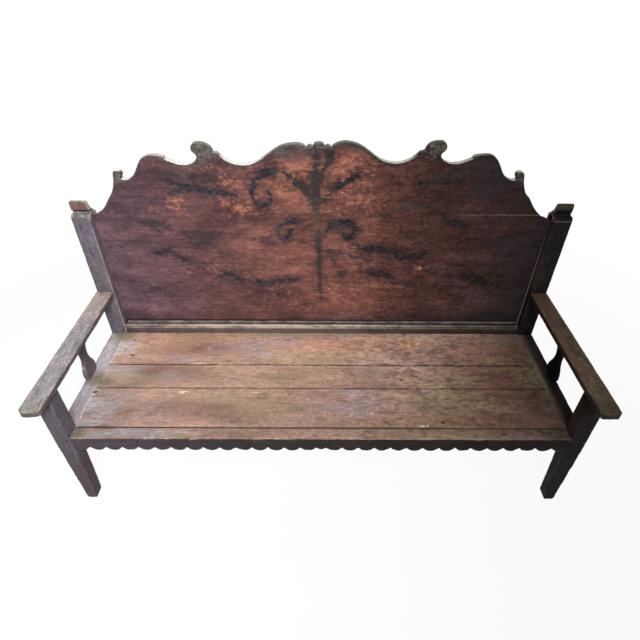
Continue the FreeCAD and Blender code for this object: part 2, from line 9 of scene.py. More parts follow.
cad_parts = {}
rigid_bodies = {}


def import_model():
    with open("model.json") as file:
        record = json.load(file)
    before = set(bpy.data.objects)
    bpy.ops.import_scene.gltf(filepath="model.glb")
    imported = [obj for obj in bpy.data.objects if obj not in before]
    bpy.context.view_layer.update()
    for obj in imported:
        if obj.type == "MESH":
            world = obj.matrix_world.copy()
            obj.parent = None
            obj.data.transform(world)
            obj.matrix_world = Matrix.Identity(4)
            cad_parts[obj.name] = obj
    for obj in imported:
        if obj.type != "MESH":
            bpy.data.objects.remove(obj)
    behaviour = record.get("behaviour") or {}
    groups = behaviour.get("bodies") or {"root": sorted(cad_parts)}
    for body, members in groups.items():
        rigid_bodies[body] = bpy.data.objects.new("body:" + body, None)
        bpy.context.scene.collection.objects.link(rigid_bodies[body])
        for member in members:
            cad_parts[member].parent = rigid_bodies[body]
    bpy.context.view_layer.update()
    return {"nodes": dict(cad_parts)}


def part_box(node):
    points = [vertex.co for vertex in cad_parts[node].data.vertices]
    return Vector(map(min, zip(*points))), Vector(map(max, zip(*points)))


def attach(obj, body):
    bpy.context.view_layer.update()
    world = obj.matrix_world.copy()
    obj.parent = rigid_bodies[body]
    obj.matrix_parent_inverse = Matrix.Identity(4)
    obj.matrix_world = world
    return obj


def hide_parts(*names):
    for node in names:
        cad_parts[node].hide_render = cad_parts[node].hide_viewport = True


for leftover in list(bpy.data.objects):
    bpy.data.objects.remove(leftover)
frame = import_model()

# Camera, in metres and degrees, as fitted to the photograph
CAMERA_PLACE = (0.0109, -1.3547, 1.7924)
CAMERA_PITCH = 38.28
CAMERA_YAW = 0.33
CAMERA_ROLL = 0.465
CAMERA_LENS = 26.46
CAMERA_SHIFT = (-0.0107, -0.0012)

CAP_HEIGHT = 0.04  # of a post's cap above its notch

# Planes of the frame that the looks refer to
panel_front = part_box("back_panel")[0].y
post_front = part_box("back_bottom_rail")[0].y
post_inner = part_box("rear_post_right")[0].x
tight_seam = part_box("seat_board_front")[1].y
bead_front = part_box("panel_bead_moulding")[0].y
bead_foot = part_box("panel_bead_moulding")[0].z
bead_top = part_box("panel_bead_moulding")[1].z
cap_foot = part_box("rear_post_right")[1].z - CAP_HEIGHT
crest_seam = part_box("crest_board")[0].z

# How much higher the hand sawn crest stands than its regular outline: x and rise, in metres
CREST_LIFTS = (
    (-0.77, 0.0), (-0.62, 0.0), (-0.45, -0.003), (-0.3, 0.001), (-0.12, -0.004), (-0.05, 0.0), (0.04, 0.0),
    (0.08, 0.005), (0.26, 0.01), (0.42, 0.007), (0.69, 0.008), (0.73, 0.002), (0.77, 0.0),
)
CREST_LIFT_HEIGHT = 0.1  # the lift fades out over this height above the seam
# How much lower its two ends fall towards the posts: x and fall, in metres
CREST_DROPS = (
    (-0.894, 0.014), (-0.877, 0.0065), (-0.839, 0.0), (-0.811, -0.008), (-0.785, 0.0),
    (0.765, 0.0), (0.788, -0.01), (0.806, -0.002), (0.825, 0.005), (0.851, 0.013), (0.894, 0.02),
)

# Painted ornament on the back: x, z and half width along each brush stroke, in millimetres
DARK_STROKES = (
    # Stem and the two plumes at its top
    ((-19, 1232, 21), (-21, 1200, 15), (-25, 1160, 13), (-28, 1110, 17), (-30, 1060, 22), (-28, 1027, 23),
     (-29, 1004, 12)),
    ((-13, 892, 14), (-13, 840, 14), (-12, 750, 11), (-10, 575, 8)),
    ((22, 1236, 14), (27, 1212, 16), (20, 1188, 16), (10, 1168, 12), (-10, 1125, 9)),
    # Upper scroll and leaf
    ((-41, 1055, 13), (-81, 1097, 15), (-112, 1128, 12), (-160, 1151, 13), (-205, 1146, 17),
     (-245, 1120, 14), (-265, 1077, 11), (-259, 1042, 7), (-240, 1019, 10), (-214, 1017, 10),
     (-194, 1040, 7), (-204, 1079, 6)),
    ((-3, 1027, 9), (33, 1074, 13), (81, 1109, 14), (118, 1129, 10), (145, 1139, 4)),
    # Lower scrolls
    ((-54, 934, 5), (-97, 947, 8), (-137, 948, 13), (-169, 932, 8), (-178, 905, 3), (-170, 876, 6),
     (-145, 876, 10), (-124, 913, 7)),
    ((7, 892, 8), (42, 937, 12), (78, 953, 13), (117, 941, 15), (130, 912, 14), (108, 882, 17),
     (89, 895, 15)),
    # Loose brush marks on the left
    ((-568, 1108, 8), (-520, 1095, 14), (-430, 1074, 14), (-384, 1070, 13), (-325, 1055, 5)),
    ((-697, 805, 6), (-652, 815, 10), (-615, 812, 10), (-585, 780, 13), (-548, 768, 8)),
    ((-439, 679, 6), (-405, 708, 9), (-372, 694, 9), (-343, 675, 7)),
    ((-283, 686, 6), (-258, 662, 12), (-210, 666, 11), (-103, 683, 6)),
    # Loose brush marks on the right
    ((128, 849, 10), (200, 825, 20), (257, 827, 15), (320, 806, 15), (373, 794, 17), (418, 806, 12)),
    ((364, 1107, 8), (424, 1116, 13), (470, 1128, 19), (500, 1104, 14)),
    ((466, 975, 10), (510, 952, 14), (561, 933, 8)),
    ((600, 705, 9), (674, 679, 19), (715, 653, 17), (758, 647, 9)),
    ((166, 721, 9), (240, 706, 16), (296, 689, 9)),
)
FAINT_STROKES = (
    ((-47, 1236, 10), (-56, 1190, 10), (-52, 1148, 9), (-40, 1110, 9)),
    ((-599, 1061, 5), (-572, 1065, 7), (-545, 1068, 3)),
    ((-640, 1150, 12), (-560, 1130, 16), (-470, 1135, 18)),
    ((-430, 1125, 18), (-395, 1130, 20)),
    ((-566, 900, 4), (-536, 873, 7), (-508, 854, 7), (-474, 862, 5)),
    ((-490, 891, 4), (-460, 893, 6), (-431, 902, 3)),
    ((-763, 610, 11), (-732, 616, 14), (-706, 628, 5)),
    ((-690, 940, 16), (-600, 930, 20)),
    ((-276, 871, 5), (-219, 864, 9), (-190, 852, 6)),
    ((-329, 675, 6), (-306, 675, 8)),
    ((-190, 600, 6), (-170, 603, 9)),
    ((55, 925, 12), (80, 915, 14)),
    ((30, 800, 20), (110, 770, 28), (180, 775, 20)),
    ((75, 705, 9), (120, 722, 10), (170, 720, 10)),
    ((300, 680, 13), (368, 648, 13)),
    ((433, 739, 8), (482, 733, 15), (560, 722, 12)),
    ((560, 1080, 20), (640, 1060, 24)),
    ((700, 860, 20), (800, 800, 30)),
)
PALE_STEM_STROKES = (((-27, 1003, 17), (-22, 950, 17), (-15, 892, 14)),)

# Patches on the back: x, z, half length, half height in millimetres, tilt in degrees, strength
BRIGHT_PATCHES = (
    (-130, 1110, 230, 130, 0, 0.85), (-320, 1005, 85, 40, -20, 1.2), (-350, 1110, 60, 30, 5, 1.1),
    (-420, 1165, 70, 25, 0, 0.9), (-560, 1025, 40, 45, -40, 1.1), (-640, 1000, 60, 30, 0, 0.5),
    (85, 1140, 120, 110, 35, 0.9), (140, 1030, 170, 70, 0, 0.6), (60, 620, 130, 60, 0, 0.5),
    (-180, 580, 260, 80, 0, 0.45), (280, 640, 90, 20, 0, 0.7), (400, 740, 50, 30, 0, 0.7),
    (-480, 740, 180, 90, 0, 0.4),
)
# Soot on the crest, and painted shade towards the right end of the back
SOOT_AND_SHADE_PATCHES = (
    (-125, 1236, 110, 42, 0, 1.1), (110, 1246, 90, 26, 0, 0.9), (-690, 1170, 60, 40, 60, 0.7),
    (-560, 1165, 110, 30, -20, 0.5), (-440, 1185, 60, 34, 0, 0.9), (640, 1150, 150, 60, -10, 1.2),
    (800, 1060, 70, 100, 10, 0.9), (860, 620, 140, 320, 0, 0.9), (800, 500, 240, 60, 0, 0.8),
)
GREY_PATCHES = (
    (-448, 1232, 46, 30, -15, 1.4), (422, 1232, 46, 30, 15, 1.4), (-13, 1250, 60, 18, 0, 1.2),
    (-755, 1138, 26, 26, 0, 1.2), (729, 1138, 26, 26, 0, 1.2),
)

# Patches on the seat and its rails: x, y, half length, half depth in millimetres, tilt in degrees, strength
SEAT_ORANGE = (
    (-720, 235, 150, 60, 4, 0.9), (-480, 245, 320, 50, 0, 0.7), (20, 225, 300, 70, 0, 0.9),
    (380, 230, 200, 50, 0, 0.6), (-560, -200, 300, 60, 0, 0.5), (250, -200, 260, 50, 0, 0.5),
    (560, -205, 100, 35, 0, 0.9), (640, 190, 120, 60, 0, 0.7),
)
SEAT_GREY = (
    (-890, -150, 130, 150, 0, 1.2), (-780, 60, 180, 55, 0, 1), (-640, 40, 180, 55, 0, 0.95),
    (-740, -265, 260, 28, 0, 0.9), (-860, 200, 90, 110, 0, 0.8), (-240, 160, 120, 50, 0, 0.5),
    (100, -60, 160, 40, 0, 0.6), (-940, 20, 50, 330, 0, 1.6),
)
SEAT_DIRT = (
    (-905, 290, 70, 70, 0, 1.1), (-915, 10, 90, 45, 0, 1.2), (-890, -262, 55, 45, 0, 1.2),
    (880, -265, 45, 40, 0, 1.5), (-780, -30, 180, 40, 8, 0.8), (895, 20, 50, 300, 0, 1),
    (820, 240, 120, 60, 0, 0.7), (210, 52, 120, 40, 0, 0.7), (-150, 20, 140, 40, 0, 0.7),
    (-362, -187, 120, 40, 0, 0.6), (-88, -150, 70, 40, 0, 0.7), (240, -30, 180, 60, 0, 0.6),
    (350, -110, 160, 40, 0, 0.5), (0, 290, 700, 18, 0, 0.7),
)
SEAT_DARK = (
    (780, 20, 340, 340, 0, 1), (480, -140, 220, 40, 0, 0.8), (240, -163, 70, 22, 0, 0.7),
    (-760, 10, 180, 30, 6, 0.6), (-130, 70, 120, 30, 0, 0.5), (700, 40, 140, 50, 0, 1),
    (620, -210, 440, 90, 0, 1), (860, 20, 160, 300, 0, 1.3), (-560, 200, 340, 90, 0, 0.8),
    (-450, -150, 300, 80, 0, 0.7), (-680, 50, 260, 70, 0, 0.9),
)
SEAT_BLACK = ((948, 20, 36, 600, 0, 1.1), (930, -200, 50, 110, 0, 0.6))
SEAT_CHIPS = (
    (-517, 102, 40, 7, 0, 1), (-549, -62, 34, 9, 6, 1), (-269, 57, 10, 12, 30, 0.9),
    (-265, -63, 24, 7, 0, 0.8), (-498, 194, 12, 8, 0, 0.8), (165, 98, 22, 9, -20, 1),
    (193, -168, 10, 6, 0, 0.9), (379, -228, 30, 8, 0, 0.9), (495, -50, 14, 6, 0, 0.8),
    (-160, -292, 45, 8, 0, 0.9), (-560, -292, 20, 7, 0, 0.9), (560, -292, 35, 8, 0, 0.8),
    (-909.5, -110, 3.4, 140, 0, 1.1), (909, 50, 15, 300, 0, 0.8),
)
SEAT_PITS = (
    (-901, -64, 14, 7, 10, 1), (-821, 152, 14, 8, 15, 0.9), (-887, 146, 8, 6, 0, 0.8),
    (-845, 250, 12, 7, 0, 0.8), (-464, -105, 7, 6, 0, 0.8), (-217, -100, 6, 6, 0, 0.8),
    (-127, -72, 8, 5, 0, 0.8), (327, 7, 10, 7, 20, 0.9), (391, 27, 9, 7, 0, 0.8),
    (456, -213, 13, 9, 0, 0.9),
)
SEAT_LAYERS = {
    "orange": SEAT_ORANGE, "grey": SEAT_GREY, "dirt": SEAT_DIRT, "dark": SEAT_DARK, "black": SEAT_BLACK,
    "chips": SEAT_CHIPS, "pits": SEAT_PITS,
}

MILLIMETRE = 0.001
STROKE_STEPS = 12  # points along a stroke between two of its places
FAR = 0.05  # paint further off than this has no effect
OUTSIDE = -1.0  # value of a layer far from its patches
NOISE_VALUES = 4096
NOISE_PRIMES = (73856093, 19349663, 83492791)  # scatter the corners of a lattice over the values
SEAM_LAP = 0.006  # how far the crest board runs into the panel behind their seam
SEAM_TUCK = 0.96  # its thickness there, as a share
ARRIS_RISE = 0.16  # how far a full arris stands out from its neighbours, in mesh squares
ARRIS_RINGS = 2  # rings of neighbours that an arris takes in
ARRIS_HOLD = 0.95  # share of it that the next ring gets
ARRIS_LINES = (0.0, 0.3, 0.65)  # grid lines on a round arris, as shares of its radius

# Unevenness of hand planed wood: size across and along the grain, share of the relief
WAVES = ((0.035, 0.22, 0.7), (0.009, 0.05, 0.3))
# Nibbles on an arris: size, level of the noise where they begin, share of the depth
BITES = ((0.016, 0.15, 1.0), (0.045, 0.0, 0.5))


# Numbers on a mesh

def read(items, name, width):
    values = np.empty(len(items) * width, np.float32)
    items.foreach_get(name, values)
    return values.reshape(-1, width).astype(float)


def read_points(mesh):
    return read(mesh.vertices, "co", 3)


def write_points(mesh, points):
    mesh.vertices.foreach_set("co", points.astype(np.float32).ravel())
    mesh.update()


def keep(mesh, name, values):
    attribute = mesh.attributes.new(name, "FLOAT", "POINT")
    attribute.data.foreach_set("value", values.astype(np.float32))


def lattice_noise(points, cell, seed):
    # Smooth noise from -1 to 1 with one value per corner of a lattice of cells
    table = np.random.default_rng(seed).uniform(-1.0, 1.0, NOISE_VALUES)
    grid = points / np.asarray(cell)
    base = np.floor(grid).astype(np.int64)
    part = grid - base
    part = part * part * (3 - 2 * part)
    total = np.zeros(len(points))
    for corner in itertools.product((0, 1), repeat=3):
        spot = base + corner
        key = np.bitwise_xor.reduce(spot * NOISE_PRIMES, axis=1)
        weight = np.prod(np.where(corner, part, 1 - part), axis=1)
        total += weight * table[key % NOISE_VALUES]
    return total


def along_grain(grain_axis, across, along):
    # Three values for the axes, with another one along the grain
    return [along if axis == grain_axis else across for axis in range(3)]


def edge_ends(mesh):
    ends = np.empty(len(mesh.edges) * 2, np.int32)
    mesh.edges.foreach_get("vertices", ends)
    return ends[0::2], ends[1::2]


def neighbour_mean(mesh, values):
    first, second = edge_ends(mesh)
    count = len(mesh.vertices)
    links = np.bincount(first, minlength=count) + np.bincount(second, minlength=count)
    means = []
    for column in values.reshape(count, -1).T:
        total = np.bincount(first, column[second], count) + np.bincount(second, column[first], count)
        means.append(total / np.maximum(links, 1))
    return np.stack(means, axis=1)


def arris_of_mesh(mesh, voxel):
    # 1 on convex edges, 0 on flat faces, from how far a vertex stands out from its neighbours
    points = read_points(mesh)
    normals = read(mesh.vertices, "normal", 3)
    proud = ((points - neighbour_mean(mesh, points)) * normals).sum(axis=1)
    mask = np.clip(proud / (ARRIS_RISE * voxel), 0, 1)
    for _ in range(ARRIS_RINGS):
        mask = np.maximum(mask, ARRIS_HOLD * neighbour_mean(mesh, mask)[:, 0])
    return mask


def arris_of_box(points, low, high, width):
    gaps = np.minimum(points - low, high - points)
    second = np.sort(gaps, axis=1)[:, 1]
    return np.exp(-np.maximum(second, 0) / width)


def patches(across, along, places):
    # Highest of several soft ellipses: 1 in a middle, 0 at a rim, below 0 outside
    best = np.full(len(across), OUTSIDE)
    for *sizes, tilt, strength in places:
        x, z, half_length, half_height = MILLIMETRE * np.array(sizes)
        turn = math.radians(tilt)
        u = (across - x) * math.cos(turn) + (along - z) * math.sin(turn)
        v = (along - z) * math.cos(turn) - (across - x) * math.sin(turn)
        inside = strength - np.hypot(u / half_length, v / half_height)
        best = np.maximum(best, inside)
    return best


def stroke_line(places):
    # Smooth line through the places of a stroke
    knots = MILLIMETRE * np.array((places[0],) + places + (places[-1],))
    t = np.linspace(0, 1, STROKE_STEPS, endpoint=False)[:, None]
    parts = []
    for a, b, c, d in zip(knots, knots[1:], knots[2:], knots[3:]):
        parts.append(b + (c - a) * t / 2 + (a - 2.5 * b + 2 * c - d / 2) * t ** 2
                     + (1.5 * (b - c) + (d - a) / 2) * t ** 3)
    return np.concatenate(parts)


def stroke_distance(points, strokes):
    # Distance to the rim of the nearest brush stroke, below 0 inside it
    nearest = np.full(len(points), FAR)
    for stroke in strokes:
        for x, z, half in stroke_line(stroke):
            nearest = np.minimum(nearest, np.hypot(points[:, 0] - x, points[:, 2] - z) - half)
    return nearest


def along_x(points, rows):
    # Values between the rows of a table of x and value
    return np.interp(points[:, 0], *zip(*rows))


# Meshes

def add_object(name, data):
    thing = bpy.data.objects.new(name, data)
    bpy.context.scene.collection.objects.link(thing)
    return thing


def even_copy(node, voxel, smooth_steps):
    # Copy of a solid with an even fine mesh and slightly rounded arrises
    scratch = add_object("scratch", frame["nodes"][node].data.copy())
    remesh = scratch.modifiers.new("remesh", "REMESH")
    remesh.mode = "VOXEL"
    remesh.voxel_size = voxel
    smooth = scratch.modifiers.new("smooth", "SMOOTH")
    smooth.factor = 0.5
    smooth.iterations = smooth_steps
    depsgraph = bpy.context.evaluated_depsgraph_get()
    mesh = bpy.data.meshes.new_from_object(scratch.evaluated_get(depsgraph))
    bpy.data.objects.remove(scratch)
    mesh.materials.clear()
    return mesh


def grid_lines(low, high, step, arris):
    inner = np.linspace(low + arris, high - arris, max(2, round((high - low - 2 * arris) / step) + 1))
    edge = arris * np.array(ARRIS_LINES)
    return np.concatenate((low + edge, inner, (high - edge)[::-1]))


def rounded_board(low, high, step, arris):
    # Closed box with a grid on every face and round arrises
    axes = [grid_lines(a, b, step, arris) for a, b in zip(low, high)]
    size = tuple(len(lines) for lines in axes)
    quads = []
    for axis in range(3):
        others = (np.arange(size[other]) for other in range(3) if other != axis)
        rows, columns = np.meshgrid(*others, indexing="ij")
        for end in (0, size[axis] - 1):
            spot = [rows, columns]
            spot.insert(axis, np.full(rows.shape, end))
            key = np.ravel_multi_index(tuple(spot), size)
            face = np.stack((key[:-1, :-1], key[1:, :-1], key[1:, 1:], key[:-1, 1:]), axis=-1)
            face = face.reshape(-1, 4)
            flipped = (end == 0) != (axis == 1)
            quads.append(face[:, ::-1] if flipped else face)
    keys, faces = np.unique(np.concatenate(quads), return_inverse=True)
    spots = np.unravel_index(keys, size)
    points = np.stack([lines[spot] for lines, spot in zip(axes, spots)], axis=1)
    core = np.clip(points, low + arris, high - arris)
    out = points - core
    points = core + out * arris / np.maximum(np.linalg.norm(out, axis=1), 1e-9)[:, None]
    mesh = bpy.data.meshes.new("board")
    mesh.from_pydata(points, [], faces.reshape(-1, 4))
    mesh.update()
    return mesh


def weather(mesh, arris, grain_axis, relief, chip, seed):
    # Uneven hand-planed faces and nibbled arrises
    points = read_points(mesh)
    normals = read(mesh.vertices, "normal", 3)
    push = np.zeros(len(points))
    for step, (across, along, share) in enumerate(WAVES):
        cell = along_grain(grain_axis, across, along)
        push += relief * share * lattice_noise(points, cell, seed + step)
    for step, (size, level, share) in enumerate(BITES, len(WAVES)):
        bites = np.clip(lattice_noise(points, size, seed + step) - level, 0, 1)
        push -= chip * share * arris * bites
    write_points(mesh, points + normals * push[:, None])


def place(name, mesh, material, nodes):
    piece = add_object(name, mesh)
    mesh.materials.append(material)
    mesh.polygons.foreach_set("use_smooth", [True] * len(mesh.polygons))
    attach(piece, "root")
    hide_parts(*nodes)


# Materials

X, Y, Z = range(3)
NOISE_RANGE = (0.3, 0.7)  # where nearly all of a noise lies
GREY_BEAD = ((0.08, 0.066, 0.064), (0.19, 0.155, 0.145))
TAN_CHAMFER = ((0.15, 0.12, 0.104), (0.3, 0.25, 0.212))
POST_TOP = ((0.15, 0.135, 0.13), (0.33, 0.3, 0.285))

# Old paint at the left end, in the middle and at the right end; its darkening towards the right end is
# partly painted shade, and the lavender of the frame's left end is partly a painted reflection
FRAME_PAINT = ((0.108, 0.095, 0.118), (0.044, 0.034, 0.034), (0.018, 0.015, 0.016))
RAIL_PAINT = ((0.062, 0.045, 0.054), (0.098, 0.075, 0.067), (0.034, 0.026, 0.021))


class Shader:
    # Short calls that add nodes to one material or world and give back their output sockets

    def __init__(self, name, kind=bpy.data.materials):
        self.owner = kind.new(name)
        self.owner.use_nodes = True
        self.tree = self.owner.node_tree
        self.tree.nodes.clear()
        self.where = self.add("TexCoord", {}, "Object")
        sides = (self.add("SeparateXYZ", {0: self.where}, axis) for axis in "XYZ")
        self.x, self.y, self.z = sides

    def add(self, kind, sockets, output=0, **settings):
        node = self.tree.nodes.new("ShaderNode" + kind)
        for name, value in settings.items():
            setattr(node, name, value)
        for key, value in sockets.items():
            if isinstance(value, bpy.types.NodeSocket):
                self.tree.links.new(value, node.inputs[key])
            else:
                node.inputs[key].default_value = value
        return node.outputs[output] if node.outputs else None

    def attribute(self, name):
        return self.add("Attribute", {}, "Fac", attribute_name=name)

    def stretched(self, scale, offset=(0, 0, 0)):
        return self.add("Mapping", {"Vector": self.where, "Scale": scale, "Location": offset})

    def noise(self, vector, scale, detail=4.0, rough=0.5, distortion=0.0):
        return self.add("TexNoise", {"Vector": vector, "Scale": scale, "Detail": detail,
                                     "Roughness": rough, "Distortion": distortion}, "Fac")

    def ramp(self, value, low, high, to_low=0.0, to_high=1.0):
        return self.add("MapRange", {"Value": value, "From Min": low, "From Max": high,
                                     "To Min": to_low, "To Max": to_high}, interpolation_type="SMOOTHSTEP")

    def swing(self, noise, low, high):
        # Goes from low to high with a noise
        return self.ramp(noise, *NOISE_RANGE, low, high)

    def fold(self, operation, first, *others):
        for other in others:
            first = self.add("Math", {0: first, 1: other}, operation=operation)
        return first

    def sum(self, *values):
        return self.fold("ADD", *values)

    def times(self, *values):
        return self.fold("MULTIPLY", *values)

    def larger(self, *values):
        return self.fold("MAXIMUM", *values)

    def size(self, value):
        return self.add("Math", {0: value}, operation="ABSOLUTE")

    def weighted(self, *rows):
        return self.sum(*(self.times(value, share) for value, share in rows))

    def centred(self, noise, width):
        return self.times(self.sum(noise, -0.5), width)

    def layer(self, name, share, noise):
        # Patches kept on the mesh, with a rim that a noise breaks up
        return self.sum(self.times(self.attribute(name), share), noise)

    def mix(self, factor, first, second, blend="MIX"):
        colours = [value if isinstance(value, bpy.types.NodeSocket) else (*value, 1.0)
                   for value in (first, second)]
        return self.add("Mix", {0: factor, 6: colours[0], 7: colours[1]}, 2,
                        data_type="RGBA", blend_type=blend)

    def tint(self, first, second):
        return self.mix(1.0, first, second, "MULTIPLY")

    def cover(self, under, colour, value, low, high, most=1.0):
        # Lays a colour over another where a value goes from low to high
        return self.mix(self.ramp(value, low, high, 0.0, most), under, colour)

    def ray(self, kind):
        return self.add("LightPath", {}, kind)

    def facing(self, axis):
        normal = self.add("NewGeometry", {}, "Normal")
        return self.add("SeparateXYZ", {0: normal}, axis)

    def mottle(self, scale, seed):
        # Blotches with much fine detail: how many per metre along each axis
        return self.noise(self.stretched(scale, (seed, seed * 1.3, seed * 2.1)), 1.0, 8.0, 0.68)

    def streaks(self, axis, across, along, seed):
        # Grain lines along an axis: size across and along the grain in metres
        scale = along_grain(axis, 1 / across, 1 / along)
        return self.noise(self.stretched(scale, (seed, seed * 1.7, seed * 2.3)), 1.0, 5.0, 0.6, 0.3)

    def finish(self, colour, roughness, height, depth, specular=0.2):
        bump = self.add("Bump", {"Height": height, "Strength": 1.0, "Distance": depth}, "Normal")
        surface = self.add("BsdfPrincipled", {"Base Color": colour, "Roughness": roughness,
                                              "Specular IOR Level": specular, "Normal": bump})
        self.add("OutputMaterial", {"Surface": surface})
        return self.owner


def worn_seat(s, grain_axis=X):
    # Paint worn down to tan wood in blotches, with dust, dirt, chips and pits: colour and height
    def spots(along, across, seed):
        return s.mottle(along_grain(grain_axis, across, along), seed)

    broad = spots(3, 8, 0)
    blotch = spots(11, 26, 3)
    crumb = spots(38, 75, 7)
    speck = spots(110, 190, 9)
    grain = s.streaks(grain_axis, 0.006, 0.1, 2)
    patch = s.weighted((blotch, 0.5), (crumb, 0.5))
    wood = s.mix(s.ramp(broad, 0.38, 0.62), (0.235, 0.148, 0.112), (0.345, 0.222, 0.17))
    hue = spots(2.6, 6, 13)
    wood = s.cover(wood, (0.29, 0.215, 0.138), hue, 0.52, 0.64, 0.85)
    wood = s.cover(wood, (0.28, 0.205, 0.205), hue, 0.47, 0.36, 0.85)
    wood = s.cover(wood, (0.145, 0.092, 0.078), blotch, 0.46, 0.32, 0.75)
    wood = s.cover(wood, (0.42, 0.315, 0.22), patch, 0.54, 0.68, 0.6)
    wood = s.cover(wood, (0.445, 0.225, 0.145), s.layer("orange", 0.2, patch), 0.44, 0.8, 0.9)
    grey = s.layer("grey", 0.22, s.weighted((broad, 0.4), (blotch, 0.6)))
    wood = s.cover(wood, (0.285, 0.258, 0.27), grey, 0.5, 0.72, 0.9)
    dark = s.layer("dark", 0.28, patch)
    gloom = s.mix(s.ramp(hue, 0.44, 0.56), (0.135, 0.062, 0.05), (0.175, 0.118, 0.074))
    wood = s.cover(wood, gloom, dark, 0.46, 0.78, 0.85)
    wood = s.cover(wood, (0.15, 0.13, 0.085), s.layer("dirt", 0.24, patch), 0.52, 0.7, 0.8)
    wood = s.cover(wood, (0.042, 0.037, 0.029), s.layer("black", 0.3, patch), 0.46, 0.7, 0.95)
    patchy = s.times(s.ramp(s.x, -0.1, 0.6), s.ramp(patch, 0.4, 0.6, -0.34, 0.34))
    # The rear of the seat lighter, partly wear and partly painted light, and its right end darker as
    # painted shade
    tone = s.times(s.swing(speck, 0.76, 1.22), s.swing(crumb, 0.8, 1.18), s.swing(grain, 0.88, 1.11),
                   s.sum(patchy, 1), s.ramp(s.y, -0.2, 0.22, 0.94, 1.4),
                   s.ramp(s.x, 0.68, 0.92, 1, 0.76))
    wood = s.tint(wood, tone)
    dust = s.times(s.ramp(speck, 0.6, 0.72), s.ramp(blotch, 0.48, 0.64, 0, 0.5))
    wood = s.mix(dust, wood, (0.5, 0.41, 0.3))
    chips = s.ramp(s.layer("chips", 0.28, speck), 0.54, 0.7)
    wood = s.mix(chips, wood, s.mix(s.ramp(s.x, 0.3, 0.8), (0.62, 0.52, 0.35), (0.29, 0.25, 0.18)))
    pits = s.larger(s.ramp(speck, 0.32, 0.24, 0, 0.6), s.ramp(s.attribute("pits"), 0, 0.4))
    wood = s.mix(pits, wood, (0.052, 0.036, 0.032))
    height = s.weighted((crumb, 0.4), (speck, 0.4), (pits, -0.3))
    return wood, height


